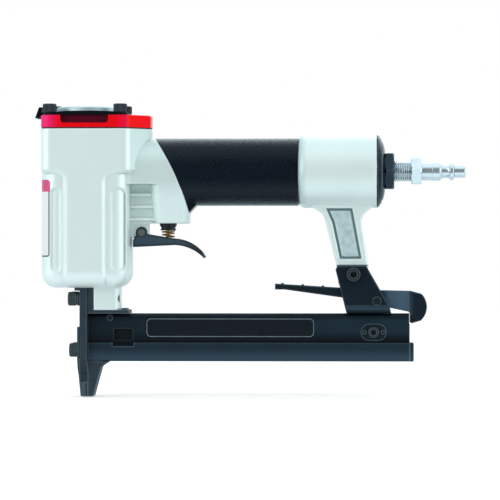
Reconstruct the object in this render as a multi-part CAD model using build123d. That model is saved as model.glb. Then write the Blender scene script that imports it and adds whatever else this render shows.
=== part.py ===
from build123d import *
import math
import os

os.makedirs("parts", exist_ok=True)

# Pneumatic fine-wire stapler, sizes in millimetres.
# The origin is the middle of the nose tip, where a staple leaves the tool.
# +X runs back to the air plug, +Z runs up to the cap, Y = 0 is the mirror plane.

# Clearances
running_gap = 0.05
slide_gap = 0.30
bolt_gap = 0.20
swing_gap = 0.10
stem_gap = 0.15

# How far joined lumps of one casting run into each other, and cuts run past a face
root_depth = 3.0
cut_over = 1.0

# Staple, driver blade and stroke
crown_width = 11.2
blade_width = 11.0
blade_thickness = 1.2
blade_channel_gap = 0.15
blade_stop = 0.2
stroke = 47.0

# Heights of the magazine and the nose above the tip
slide_rail_drop = 5.5
slide_rail_height = 11.6
fixed_rail_top = 51.0
fixed_rail_skirt = 24.0

# Magazine sheet sizes
rail_wall = 1.3
slide_wall = 1.5
core_wall = 1.0
core_front_wall = 1.5
staple_side_gap = 1.0
staple_wire = 0.7
fixed_rail_length = 197.7
rail_bend = 2.5
rail_edge = 0.6

# Nose
nose_guide_thickness = 4.65
nose_half_width = 13.6
nose_tip_half_width = 8.0
nose_guide_inset = 1.2
nose_shoulder_z = 23.5
nose_taper_z = 14.0
nose_foot_height = 8.6
nose_cover_thickness = 1.5
nose_cover_rise = 14.2
nose_cover_tip_set_back = 1.7
nose_cover_taper_z = 17.0
nose_lip_reach = 3.1
nose_lip_thickness = 1.9
nose_edge = 0.4
heel_tip_depth = 3.3
heel_waist_depth = 8.3
heel_top_depth = 13.0
heel_waist_drop = 3.0
heel_fillet = 3.0
bracket_leg = 4.1
bracket_flange = 2.2
bracket_flange_reach = 26.4
bracket_half_width = 12.4

# Screws
m5_radius = 2.5
m5_head_radius = 4.25
m5_head_height = 5.0
m5_socket_flats = 4.0
m5_socket_depth = 2.6
m4_radius = 2.0
m4_head_radius = 3.4
m4_head_height = 2.2
m4_socket_flats = 2.5
m4_socket_depth = 1.4
upper_nose_bolt_rise = 6.8
upper_nose_bolt_y = 8.8
lower_nose_bolt_rise = 7.0
lower_nose_bolt_y = 9.0
upper_bolt_grip = 11.2
lower_bolt_short = 0.4
washer_thickness = 1.15
washer_lip = 0.35
screw_edge = 0.35
nut_flats = 8.0
nut_height = 4.0
nut_thread_show = 1.5

# Housing casting
neck_height = 13.7
neck_length = 15.55
neck_half_width = 12.8
neck_corner = 3.5
body_length = 54.0
body_width = 44.0
body_corner = 10.0
body_bottom_round = 9.0
body_height = 70.1
body_wall = 2.0
panel_half_length = 12.8
panel_rise = 2.0
panel_draft = 45
panel_edge_round = 1.4
panel_flare = 5.0
collar_height = 27.3
collar_corner = 6.0
tail_reach = 12.7
tail_half_width = 8.0
tail_corner = 3.5
tail_arch_x = 6.2
tail_arch_low = 8.3
tail_arch_high = 5.6
tail_root = 1.0
tail_arch_round = 1.6
front_flute_inset = 9.4
front_flute_width = 6.1
rear_flute_inset = 6.5
rear_flute_width = 8.5
flute_bottom = 9.8
flute_length = 51.4
flute_depth = 1.2
flute_slope = 0.9

# Handle and grip
handle_lift = 1.5
handle_width = 37.0
handle_height = 41.5
handle_top_flat = 3.0
grip_drop = 0.5
grip_wall = 2.5
grip_top_x = 14.5
grip_mid_x = 27.8
grip_low_x = 36.2
grip_low_drop = 4.3
grip_heel_reach = 4.0
grip_heel_half_width = 8.5
grip_heel_run = 12.0
grip_mid_drop = 0.8
neck_floor_drop = 7.6
neck_floor_end = 21.0
neck_edge = 0.4
grip_edge = 0.8
air_bore = 13.5
air_bore_start = 17.5
air_passage = 5.0

# Rear boss, strut and air inlet
boss_radius = 22.5
boss_length = 48.0
boss_shoulder = 4.0
boss_overhang = 14.1
strut_half_width = 9.0
strut_panel_depth = 2.2
strut_pad_gap = 1.3
strut_pad_rise = 1.3
strut_pad_draft = 40
strut_foot_drop = 6.2
strut_fillet = 8.0
strut_edge = 1.2
strut_root_front = -26.0
strut_root_rear = 12.0
strut_root_lift = 0.6
strut_front_top = (-18.6, -4.0)
strut_rear_top = (4.4, -4.6)
strut_front_shelf = -10.6
strut_rear_shelf = 9.0
strut_front_foot = -9.4
strut_rear_foot = 7.4
strut_shelf_rise = 6.0
panel_top_drop = 0.4
panel_low_rise = 3.6
panel_front_top = -17.0
panel_rear_top = -0.8
panel_rear_low = 4.9
panel_front_low = -8.4
panel_front_bend = (-13.2, -9.0)
end_cap_flange = 1.0
end_cap_height = 5.2
end_cap_flat = 11.0
end_cap_bulge = 0.66
end_cap_inset = 0.2
end_cap_groove = 0.5
spigot_radius = 18.8
spigot_length = 9.0
seal_wire = 0.9
hex_flats = 21.8
hex_length = 5.6
hex_chamfer = 1.0
bushing_thread = 9.5
bushing_depth = 8.0
plug_thread = 6.58
plug_thread_depth = 5.0
plug_thread_show = 10.5
plug_hex_flats = 15.9
plug_hex_length = 6.2
plug_body_radius = 5.9
plug_body_length = 11.7
plug_neck_radius = 4.2
plug_neck_taper = 1.3
plug_neck_length = 3.7
plug_collar_radius = 5.65
plug_collar_length = 3.4
plug_tip_radius = 4.0
plug_tip_length = 7.0
plug_bore = 2.6
plug_edge = 0.6

# Trigger valve and trigger
valve_reach = 16.0
valve_boss_drop = 10.85
valve_boss_half_length = 10.7
valve_boss_half_width = 12.5
valve_boss_corner = 6.0
valve_boss_offset = 2.3
valve_boss_top_half_length = 12.0
valve_boss_top_half_width = 18.1
valve_boss_top_drop = 7.0
valve_body_radius = 5.0
valve_body_depth = 14.0
valve_flange_radius = 5.3
valve_flange = 1.4
valve_nose_radius = 4.75
valve_nose = 2.9
stem_radius = 1.5
stem_head_radius = 2.7
stem_head = 3.0
stem_point = 0.6
valve_groove = 0.4
valve_groove_depth = 0.5
web_half_width = 6.0
web_rib_half_width = 10.0
web_rib_thickness = 1.8
web_rib_root = 1.5
web_rib_rises = (1.6, 9.3, 16.7)
trigger_pin_reach = 6.9
trigger_pin_drop = 5.7
trigger_pin_radius = 2.0
trigger_pin_head = 2.65
trigger_pin_cap = 0.7
lug_half_width = 6.0
lug_front_reach = 4.1
lug_below_pin = 3.1
trigger_sheet = 1.6
trigger_floor = 1.8
trigger_eye = 3.6
trigger_edge = 0.5
trigger_low_end = (-5.3, -8.9)
trigger_low_bend = (17.1, -7.8)
trigger_low_curve = (29.5, -9.6)
trigger_low_tip = (38.4, -15.7)
trigger_high_tip = (39.2, -14.9)
trigger_high_curve = (29.9, -6.3)
trigger_high_bend = (20.3, -3.6)
trigger_shoulder = (3.4, -0.9)
trigger_heel_top = (-3.4, -1.4)
trigger_heel = (-5.3, -4.4)

# Cylinder, piston and head valve
liner_wall = 2.2
bore_floor = 3.2
bumper_height = 11.0
bumper_edge = 2.0
piston_height = 12.0
piston_groove = 7.4
piston_top_gap = 1.6
piston_side_gap = 0.3
piston_stem_radius = 9.0
piston_stem = 7.0
head_chamber_step = 1.4
head_valve_height = 6.0
head_hub_radius = 12.0
head_lift = 3.5
head_spring_radius = 15.0
head_spring_wire = 0.9

# Cap and exhaust deflector
gasket_thickness = 0.8
cap_thickness = 7.6
cap_edge = 1.0
cap_pocket = 3.4
cap_pocket_margin = 3.0
gasket_inset = 0.4
gasket_lap = 2.0
exhaust_half_length = 14.6
exhaust_depth = 5.0
exhaust_height = 4.9
exhaust_corner = 2.0
exhaust_port = 6.0
deflector_plate = 1.3
deflector_inset = 0.8
deflector_corner = 7.0
deflector_sheet = 0.6
dome_radius = 19.0
dome_wall = 3.3
dome_crown = 1.0
dome_round = 1.2
dome_seat = 4.0
lip_half_width = 11.0
lip_thickness = 2.2
lip_lean = 2.4
lip_rise = 3.8
lip_fall = 1.4
lip_reach = 2.9
cap_bolt_inset = 5.3
cap_bolt_side = 5.4
cap_bolt_length = 26.0

# Latch, rear bracket and magazine fittings
bracket_sheet = 2.0
bracket_bend = 3.4
bracket_edge = 0.4
bracket_head = 5.2
bracket_front_low = -4.4
bracket_front_high = -11.1
bracket_front_top = -10.2
bracket_rear_top = 8.1
bracket_rear_high = 9.0
bracket_top_corner = 2.3
bracket_rear_low = 7.6
bracket_rear_foot = 8.9
bracket_foot_rise = 4.4
bracket_bolt_rise = 24.0
latch_step = 14.3
latch_hook_reach = 19.75
latch_hook_half_width = 5.5
latch_rise = 7.7
latch_half_width = 6.5
latch_hub_radius = 4.5
latch_pin_radius = 2.0
latch_pin_head = 2.75
latch_pin_cap = 0.8
latch_toe_drop = 6.0
latch_arm_length = 62.7
latch_edge = 0.7
latch_ridge = 0.8
latch_ridge_start = 4.6
latch_ridge_step = 12.4
latch_ridge_count = 3
latch_arm_low = 7.0
latch_arm_high = 10.6
latch_arm_low_run = 6.0
latch_crest = (2.3, 6.6)
latch_crest_rear = (20.7, 6.2)
latch_shoulder = (27.4, 4.4)
latch_back = (30.6, -4.6)
latch_back_low = (26.9, -12.1)
latch_belly = (8.4, -4.3)
latch_seat_drop = 1.5
latch_seat_rear = -7.0
latch_seat_front = -18.5
latch_arm_root = (-21.0, 2.0)
latch_toe_width = 1.4
latch_toe_edge = 0.6
latch_hook_clear = 0.8
latch_spring_step = 12.7
latch_spring_radius = 2.6
latch_spring_wire = 0.4
pad_inset = 21.85
pad_rise = 12.5
pad_length = 16.0
pad_height = 10.6
pad_thickness = 0.8
pad_edge = 0.3
pad_hole_step = 5.6
pad_hole_radius = 0.9
window_x = 16.8
window_length = 11.6
window_rise = 7.6
window_height = 7.0
notch_margin = 0.8
notch_depth = 2.4
rivet_x = 14.3
rivet_drop = 2.7
rivet_radius = 1.9
rivet_height = 0.6
flange_screw_x = 23.2
flange_screw_y = 5.0
flange_screw_radius = 1.9
flange_screw_height = 1.0
pusher_length = 12.0
pusher_sheet = 0.5
pusher_crown = 0.9
pusher_skirt_gap = 4.0
pusher_guide = 4.0
rod_radius = 1.5
guide_rod_rise = 10.5
end_plate = 2.5
tongue_thickness = 4.0
pusher_spring_radius = 2.5
pusher_spring_wire = 0.45
trigger_spring_radius = 3.75
trigger_spring_wire = 0.4
trigger_spring_turns = 3
latch_spring_turns = 3
pusher_spring_turns = 16
head_spring_turns = 3

# Levels and stations that follow from the sizes above
blade_back = blade_thickness / 2 + blade_channel_gap
blade_rest_tip = stroke + blade_stop
guide_front = blade_back - nose_guide_thickness
cover_front = guide_front - nose_cover_thickness
flange_top = fixed_rail_top + bracket_flange
fixed_rail_bottom = fixed_rail_top - fixed_rail_skirt
slide_rail_bottom = fixed_rail_bottom - slide_rail_drop
slide_floor_top = slide_rail_bottom + slide_wall
slide_rail_top = slide_rail_bottom + slide_rail_height
body_bottom = flange_top + neck_height
collar_bottom = body_bottom + body_height
housing_top = collar_bottom + collar_height
cap_bottom = housing_top + gasket_thickness
cap_top = cap_bottom + cap_thickness
plate_top = cap_top + deflector_plate
sheet_top = plate_top + deflector_sheet
body_half = body_length / 2
body_side = body_width / 2
collar_half_width = body_side + panel_rise
front_flute_x = front_flute_inset - body_half
rear_flute_x = body_half - rear_flute_inset
cap_bolt_x = body_half - cap_bolt_inset
cap_bolt_y = collar_half_width - cap_bolt_side
handle_z = collar_bottom + handle_lift
handle_corner = (handle_width - handle_top_flat) / 2
grip_z = handle_z - grip_drop
grip_top_z = grip_z + handle_height / 2
grip_low_z = grip_z - handle_height / 2
neck_floor = grip_z - neck_floor_drop
neck_front = blade_back + bracket_leg
neck_rear = neck_front + neck_length
upper_nose_bolt_z = flange_top + upper_nose_bolt_rise
lower_nose_bolt_z = slide_rail_bottom + lower_nose_bolt_rise
nose_cover_top = lower_nose_bolt_z + nose_cover_rise
valve_boss_bottom = grip_low_z - valve_boss_drop
trigger_pin_x = body_half + trigger_pin_reach
trigger_pin_z = valve_boss_bottom - trigger_pin_drop
valve_x = trigger_pin_x + valve_reach
valve_boss_x = valve_x + valve_boss_offset
liner_radius = body_side - body_wall
liner_bore = liner_radius - liner_wall
liner_floor = body_bottom + bore_floor
bumper_top = liner_floor + bumper_height
piston_bottom = bumper_top + stroke + slide_gap
piston_top = piston_bottom + piston_height
piston_radius = liner_bore - piston_side_gap
liner_top = piston_top + piston_top_gap
head_chamber_radius = liner_radius + head_chamber_step
head_valve_top = liner_top + head_valve_height
cap_ceiling = cap_bottom + cap_pocket
core_half_width = crown_width / 2 - staple_wire
fixed_inner = core_half_width + staple_side_gap
fixed_outer = fixed_inner + rail_wall
slide_inner = fixed_outer + slide_gap
slide_outer = slide_inner + slide_wall
fixed_rail_end = blade_back + fixed_rail_length
slide_rail_end = fixed_rail_end + slide_gap
window_bottom = fixed_rail_bottom + window_rise
rivet_z = fixed_rail_top - rivet_drop
pad_x = fixed_rail_end - pad_inset
pad_z = fixed_rail_bottom + pad_rise
guide_rod_z = slide_floor_top + guide_rod_rise
latch_x = fixed_rail_end - latch_hook_reach
latch_z = fixed_rail_top + latch_rise
latch_tip_x = latch_x - latch_arm_length
latch_toe_z = fixed_rail_top - latch_toe_drop
pusher_top = latch_toe_z - slide_gap
core_top = pusher_top - pusher_crown - slide_gap
core_front = blade_back + slide_gap
bracket_bolt_x = latch_x - latch_step
bracket_bolt_z = fixed_rail_top + bracket_bolt_rise
bracket_web_top = fixed_rail_top + bracket_sheet
cheek_outer = strut_half_width + bracket_sheet
boss_end = bracket_bolt_x + boss_overhang
grip_rear_x = boss_end - boss_length


def block(x0, x1, y0, y1, z0, z1):
    """Plain block between two corners."""
    middle = Pos((x0 + x1) / 2, (y0 + y1) / 2, (z0 + z1) / 2)
    return middle * Box(x1 - x0, y1 - y0, z1 - z0)


def rod_x(x0, x1, y, z, radius):
    """Round bar along X."""
    return Pos((x0 + x1) / 2, y, z) * Rot(0, 90, 0) * Cylinder(radius, x1 - x0)


def rod_y(x, y0, y1, z, radius):
    """Round bar along Y."""
    return Pos(x, (y0 + y1) / 2, z) * Rot(90, 0, 0) * Cylinder(radius, y1 - y0)


def rod_z(x, y, z0, z1, radius):
    """Round bar along Z."""
    return Pos(x, y, (z0 + z1) / 2) * Cylinder(radius, z1 - z0)


def side_slab(outline, half_width):
    """Solid with a side outline drawn in X and Z, equal on both sides of the mirror plane."""
    return extrude(Plane.XZ * outline, amount=half_width, both=True)


def plan_slab(outline, z0, z1):
    """Solid with a plan outline drawn in X and Y."""
    return extrude(Plane.XY.offset(z0) * outline, amount=z1 - z0)


def section_bar(outline, x0, x1):
    """Bar with a section drawn in Y and Z, running along X."""
    return extrude(Plane.YZ.offset(x0) * outline, amount=x1 - x0)


def polygon(*points):
    """Closed outline with straight sides."""
    return make_face(Polyline(*points, close=True))


def round_corner(outline, point, radius):
    """Outline with the corner nearest to a point rounded."""
    corner = outline.vertices().sort_by_distance(Vector(point[0], point[1]))[0]
    return fillet(corner, radius)


def turned(points):
    """Ring or plug turned about Z from a half section in radius and height."""
    return revolve(Plane.XZ * polygon(*points), Axis.Z)


def along_x(shape, x, z):
    """Turned shape laid with its axis along X."""
    return Pos(x, 0, z) * Rot(0, 90, 0) * shape


def cap_screw(radius, length, head_radius, head_height, socket_flats, socket_depth):
    """Socket head screw along Z, its head seat at zero and its shank below."""
    head = rod_z(0, 0, 0, head_height, head_radius)
    head = chamfer(head.edges().sort_by(Axis.Z)[-1], screw_edge)
    shank = rod_z(0, 0, -length, 0, radius)
    socket = RegularPolygon(socket_flats / 2, 6, major_radius=False)
    return head + shank - plan_slab(socket, head_height - socket_depth, head_height)


def coil(radius, wire, height, turns):
    """Open coil spring along Z, from zero to its height."""
    rise = height - 2 * wire
    path = Pos(0, 0, wire) * Helix(rise / turns, rise, radius)
    section = Plane(origin=path @ 0, z_dir=path % 0) * Circle(wire)
    return sweep(section, path, is_frenet=True)


def both_sides(shape):
    """Shape together with its mirror image across the mirror plane."""
    return Compound([shape, mirror(shape, Plane.XZ)])


# Housing casting

def collar_outline(inset):
    """Plan of the cap and the housing top: a rounded square with a tapered tail."""
    front = -body_half + inset
    side = collar_half_width - inset
    tail = body_half + tail_reach - inset
    tail_side = tail_half_width - inset / 2
    outline = polygon(
        (front, -side), (body_half - tail_root, -side), (tail, -tail_side),
        (tail, tail_side), (body_half - tail_root, side), (front, side))
    for y in (-side, side):
        outline = round_corner(outline, (front, y), collar_corner - inset)
        outline = round_corner(outline, (body_half - tail_root, y), collar_corner - inset)
    for y in (-tail_side, tail_side):
        outline = round_corner(outline, (tail, y), tail_corner)
    return outline


def grip_edge_outline():
    """Side view of everything in front of the slanted front edge of the grip."""
    top = (body_half + grip_top_x, grip_top_z + cut_over)
    middle = (body_half + grip_mid_x, grip_z - grip_mid_drop)
    low = (body_half + grip_low_x, grip_low_z - grip_low_drop)
    floor_z = valve_boss_bottom - root_depth
    edge = ThreePointArc(top, middle, low)
    rest = Polyline(low, (low[0], floor_z), (-body_half, floor_z), (-body_half, top[1]), top)
    return make_face([edge, rest])


def handle_section(inset):
    """Section of the handle, or of the casting under the grip."""
    outline = RectangleRounded(
        handle_width - 2 * inset, handle_height - 2 * inset, handle_corner - inset)
    return Pos(0, grip_z) * outline


def panel_outline():
    """Side view of the raised panel at its foot, flared where it meets the collar."""
    low = body_bottom - 2 * panel_rise
    high = collar_bottom + root_depth + 2 * panel_rise
    wide = body_half - collar_corner
    outline = polygon(
        (-panel_half_length, low), (panel_half_length, low), (panel_half_length, collar_bottom),
        (wide, collar_bottom), (wide, high), (-wide, high), (-wide, collar_bottom),
        (-panel_half_length, collar_bottom))
    for x in (-panel_half_length, panel_half_length):
        outline = round_corner(outline, (x, collar_bottom), panel_flare)
    return outline


def raised_panel():
    """Panel on each side of the body, with slanted walls and a rounded foot."""
    outline = panel_outline()
    panel = side_slab(outline, body_side)
    near = extrude(Plane.XZ.offset(body_side) * outline, amount=panel_rise, taper=panel_draft)
    panel += near + mirror(near, Plane.XZ)
    foot = block(
        -body_half, body_half, -collar_half_width, collar_half_width, body_bottom,
        collar_bottom + root_depth)
    foot_edges = foot.faces().sort_by(Axis.Z)[0].edges().filter_by(Axis.X)
    return panel & fillet(foot_edges, body_bottom_round + panel_edge_round)


def flute(x, width):
    """Space of one obround flute in the near side, equally deep round the corner of the body."""
    middle = body_bottom + flute_bottom + flute_length / 2
    outline = Pos(x, middle) * Rot(0, 0, 90) * SlotOverall(flute_length, width)
    floor = plan_slab(
        RectangleRounded(
            body_length - 2 * flute_depth, body_width - 2 * flute_depth, body_corner - flute_depth),
        body_bottom, collar_bottom)
    space = extrude(Plane.XZ * outline, amount=body_side) - floor
    walls = space.faces().filter_by(lambda face: abs(face.normal_at().Y) < running_gap)
    foot = [edge for edge in walls.edges() if floor.distance_to(edge.center()) < running_gap]
    return chamfer(foot, flute_slope)


def cylinder_body():
    """Lower body with its side panels and sunk flutes."""
    outline = RectangleRounded(body_length, body_width, body_corner)
    body = plan_slab(outline, body_bottom, collar_bottom + panel_rise)
    body = fillet(body.faces().sort_by(Axis.Z)[0].edges(), body_bottom_round)
    body += raised_panel()
    for x, width in ((front_flute_x, front_flute_width), (rear_flute_x, rear_flute_width)):
        body -= both_sides(flute(x, width))
    return body


def housing_top_block():
    """Collar under the cap, slanted below, with the arch cut under its tail."""
    collar = plan_slab(collar_outline(0), collar_bottom, housing_top)
    collar = chamfer(collar.faces().sort_by(Axis.Z)[0].edges(), panel_rise)
    arch_x = body_half + tail_arch_x
    tail_x = body_half + tail_reach + cut_over
    low = (arch_x, collar_bottom + tail_arch_low)
    high = (tail_x, housing_top - tail_arch_high)
    middle = ((arch_x * 2 + tail_x) / 3, (low[1] + high[1] * 2) / 3)
    arch = make_face([
        ThreePointArc(low, middle, high),
        Polyline(high, (tail_x, collar_bottom), (arch_x, collar_bottom), low)])
    collar -= side_slab(arch, collar_half_width)
    under = [
        edge for edge in collar.edges()
        if edge.center().X > arch_x - cut_over and edge.center().Z < high[1]
        and abs(edge.center().Y) > tail_half_width]
    return fillet(under, tail_arch_round)


def handle_neck():
    """Shoulder between the body and the grip, with the trigger valve boss below it."""
    front = grip_edge_outline()
    low_x = body_half + grip_low_x
    shoulder = section_bar(handle_section(0), 0, low_x)
    low_z = grip_low_z - grip_low_drop
    under = polygon(
        (0, neck_floor), (body_half + neck_floor_end, neck_floor), (low_x, low_z),
        (low_x, low_z - root_depth), (0, low_z - root_depth))
    shoulder -= side_slab(under, handle_width)
    boss_top = grip_z - valve_boss_top_drop
    boss_foot = RectangleRounded(
        2 * valve_boss_half_length, 2 * valve_boss_half_width, valve_boss_corner)
    boss_head = RectangleRounded(
        2 * valve_boss_top_half_length, 2 * valve_boss_top_half_width, valve_boss_corner)
    boss = loft([
        Plane.XY.offset(valve_boss_bottom) * Pos(valve_boss_x, 0) * boss_foot,
        Plane.XY.offset(boss_top) * Pos(valve_boss_x, 0) * boss_head])
    neck = (shoulder + boss) & side_slab(front, handle_width)
    slant = neck.faces().sort_by_distance(Vector(body_half + grip_mid_x, 0, grip_z - grip_mid_drop))[0]
    return fillet(slant.edges(), neck_edge)


def trigger_web():
    """Ribbed web between the body and the valve boss, and the trigger lug below it."""
    root_x = body_half - root_depth
    top = neck_floor + cut_over
    web = block(root_x, valve_boss_x, -web_half_width, web_half_width, valve_boss_bottom, top)
    rib_x = valve_boss_x - valve_boss_half_length + web_rib_root
    for rise in web_rib_rises:
        z = valve_boss_bottom + rise
        web += block(
            root_x, rib_x, -web_rib_half_width, web_rib_half_width, z, z + web_rib_thickness)
    lug_x = trigger_pin_x + lug_front_reach
    lug_z = trigger_pin_z - lug_below_pin
    lug_top = valve_boss_bottom + root_depth
    lug = polygon((root_x, lug_z), (lug_x, lug_z), (lug_x, lug_top), (root_x, lug_top))
    lug = round_corner(lug, (lug_x, lug_z), lug_below_pin)
    return web + side_slab(lug, lug_half_width)


def rear_strut():
    """Strut from the rear boss down to the magazine bracket, with a sunk panel each side."""
    x = bracket_bolt_x
    top = handle_z
    under = handle_z - boss_radius
    foot = bracket_bolt_z - strut_foot_drop
    shelf = bracket_bolt_z + strut_shelf_rise
    front_top = (x + strut_front_top[0], under + strut_front_top[1])
    rear_top = (x + strut_rear_top[0], under + strut_rear_top[1])
    root_z = under + strut_root_lift
    outline = polygon(
        (x + strut_root_front, top), (x + strut_root_front, root_z), front_top,
        (x + strut_front_shelf, shelf), (x + strut_front_foot, foot),
        (x + strut_rear_foot, foot), (x + strut_rear_shelf, shelf), rear_top,
        (x + strut_root_rear, root_z), (x + strut_root_rear, top))
    outline = round_corner(outline, front_top, strut_fillet)
    outline = round_corner(outline, rear_top, strut_fillet)
    panel_top = under - panel_top_drop
    panel_low = shelf + panel_low_rise
    bend = (x + panel_front_bend[0], under + panel_front_bend[1])
    panel = polygon(
        (x + panel_front_top, panel_top), (x + panel_rear_top, panel_top),
        (x + panel_rear_low, panel_low), (x + panel_front_low, panel_low), bend)
    panel = round_corner(panel, bend, strut_fillet)
    sunk = side_slab(panel, strut_half_width)
    floor = strut_half_width - strut_panel_depth
    sunk -= side_slab(panel, floor)
    pad = extrude(
        Plane.XZ.offset(floor) * offset(panel, -strut_pad_gap), amount=strut_pad_rise,
        taper=strut_pad_draft)
    sunk -= both_sides(pad)
    strut = side_slab(outline, strut_half_width)
    sides = strut.faces().filter_by(Axis.Y)
    return fillet(sides.edges(), strut_edge) - sunk


def rear_boss():
    """Round boss behind the grip."""
    boss = rod_x(grip_rear_x, boss_end, 0, handle_z, boss_radius)
    front_edge = boss.edges().filter_by(GeomType.CIRCLE).sort_by(Axis.X)[0]
    return fillet(front_edge, boss_shoulder)


def nose_neck():
    """Block under the body that carries the nose bracket."""
    neck = block(
        neck_front, neck_rear, -neck_half_width, neck_half_width, flange_top,
        body_bottom + bore_floor)
    rear = neck.edges().filter_by(Axis.Z).group_by(Axis.X)[-1]
    return fillet(rear, neck_corner)


def housing():
    """Die-cast body, handle core, rear boss and strut."""
    core_front = valve_boss_x - valve_boss_half_length
    core = section_bar(handle_section(grip_wall), core_front, grip_rear_x + root_depth)
    casting = cylinder_body() + housing_top_block() + handle_neck() + trigger_web()
    casting += core + rear_boss() + nose_neck() + rear_strut()
    casting -= rod_z(0, 0, liner_floor, liner_top, liner_radius)
    casting -= rod_z(0, 0, liner_top, housing_top, head_chamber_radius)
    casting -= block(
        -blade_back, blade_back, -blade_width / 2 - bolt_gap, blade_width / 2 + bolt_gap,
        flange_top, liner_floor)
    casting -= rod_x(body_half + air_bore_start, boss_end, 0, handle_z, air_bore)
    passage_z = liner_top + air_passage + cut_over
    casting -= rod_x(0, body_half + air_bore_start + cut_over, 0, passage_z, air_passage)
    casting -= rod_x(boss_end - spigot_length, boss_end, 0, handle_z, spigot_radius)
    casting -= rod_z(valve_x, 0, valve_boss_bottom, handle_z, valve_body_radius)
    casting -= rod_y(trigger_pin_x, -lug_half_width, lug_half_width, trigger_pin_z, trigger_pin_radius)
    casting -= rod_y(
        bracket_bolt_x, -strut_half_width, strut_half_width, bracket_bolt_z, m5_radius + bolt_gap)
    for y in (-upper_nose_bolt_y, upper_nose_bolt_y):
        casting -= rod_x(neck_front, neck_rear, y, upper_nose_bolt_z, m5_radius)
    thread_floor = sheet_top - cap_bolt_length - cut_over
    for x in (-cap_bolt_x, cap_bolt_x):
        for y in (-cap_bolt_y, cap_bolt_y):
            casting -= rod_z(x, y, thread_floor, housing_top, m5_radius)
    return casting


# Cap, gasket and exhaust deflector

def bolt_holes(part, z0, z1):
    """Part with the four cap bolt holes cut through it."""
    for x in (-cap_bolt_x, cap_bolt_x):
        for y in (-cap_bolt_y, cap_bolt_y):
            part -= rod_z(x, y, z0, z1, m5_radius + bolt_gap)
    return part


def cylinder_cap():
    """Cap over the head valve, with an exhaust outlet in each side."""
    cap = plan_slab(collar_outline(0), cap_bottom, cap_top)
    cap = fillet(cap.faces().sort_by(Axis.Z)[-1].edges(), cap_edge)
    outlet = RectangleRounded(
        2 * exhaust_half_length, 2 * exhaust_height, exhaust_corner)
    outlet = side_slab(Pos(0, cap_top) * outlet, collar_half_width)
    inner = collar_half_width - exhaust_depth
    outlet -= block(-body_half, body_half, -inner, inner, cap_bottom, cap_top + exhaust_height)
    cap -= outlet
    cap -= rod_z(0, 0, cap_bottom, cap_ceiling, head_spring_radius + cap_pocket_margin)
    cap -= rod_z(0, 0, cap_ceiling, cap_top, exhaust_port)
    return bolt_holes(cap, cap_bottom, cap_top)


def cap_gasket():
    """Flat gasket between the housing and the cap."""
    gasket = plan_slab(collar_outline(gasket_inset), housing_top, cap_bottom)
    gasket -= rod_z(0, 0, housing_top, cap_bottom, head_chamber_radius - gasket_lap)
    return bolt_holes(gasket, housing_top, cap_bottom)


def deflector_base():
    """Plate on the cap with a slanted lip at the front."""
    length = body_length - 2 * deflector_inset
    width = 2 * (collar_half_width - deflector_inset)
    plate = plan_slab(RectangleRounded(length, width, deflector_corner), cap_top, plate_top)
    front = -length / 2
    lip_x = front - lip_reach
    lip = polygon(
        (lip_x + lip_thickness, plate_top + lip_rise), (lip_x, plate_top + lip_rise),
        (lip_x - lip_lean, cap_top - lip_fall), (lip_x - lip_lean + lip_thickness, cap_top - lip_fall))
    bridge = block(
        lip_x - lip_lean / 2, front + deflector_corner, -lip_half_width, lip_half_width,
        cap_top, plate_top)
    plate += side_slab(lip, lip_half_width) + bridge
    plate -= rod_z(0, 0, cap_top, plate_top, dome_radius - dome_seat)
    return bolt_holes(plate, cap_top, plate_top)


def crowned_pan(radius, rim, crown):
    """Round drum on the deflector plate with a gently crowned top and a rounded rim."""
    ball = (radius ** 2 + crown ** 2) / (2 * crown)
    drum = rod_z(0, 0, plate_top, rim + crown, radius) & Pos(0, 0, rim + crown - ball) * Sphere(ball)
    rings = drum.edges().filter_by(lambda edge: edge.is_closed)
    return fillet(rings.sort_by(Axis.Z)[-1], dome_round)


def deflector_dome():
    """Thin crowned cover held under the cap bolts."""
    length = body_length - 4 * deflector_inset
    width = 2 * (collar_half_width - 2 * deflector_inset)
    sheet = plan_slab(RectangleRounded(length, width, deflector_corner), plate_top, sheet_top)
    rim = sheet_top + dome_wall
    sheet += crowned_pan(dome_radius, rim, dome_crown)
    sheet -= crowned_pan(dome_radius - deflector_sheet, rim - deflector_sheet, dome_crown)
    return bolt_holes(sheet, plate_top, sheet_top)


def cap_bolts():
    """Four socket head bolts through deflector and cap."""
    bolt = cap_screw(
        m5_radius, cap_bolt_length, m5_head_radius, m5_head_height, m5_socket_flats,
        m5_socket_depth)
    places = []
    for x in (-cap_bolt_x, cap_bolt_x):
        for y in (-cap_bolt_y, cap_bolt_y):
            places.append(Pos(x, y, sheet_top) * bolt)
    return Compound(places)


# Cylinder, piston, driver and head valve

def cylinder_liner():
    """Plain steel liner of the cylinder."""
    z0 = liner_floor
    return turned([
        (liner_bore, z0), (liner_radius, z0), (liner_radius, liner_top), (liner_bore, liner_top)])


def piston_bumper():
    """Rubber bumper that stops the piston, slotted for the blade."""
    outer = liner_bore
    z0 = liner_floor
    bumper = turned([
        (0, z0), (outer, z0), (outer, bumper_top - bumper_edge),
        (outer - bumper_edge, bumper_top), (0, bumper_top)])
    slot = block(
        -blade_back, blade_back, -blade_width / 2 - bolt_gap, blade_width / 2 + bolt_gap,
        z0, bumper_top)
    return bumper - slot


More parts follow.
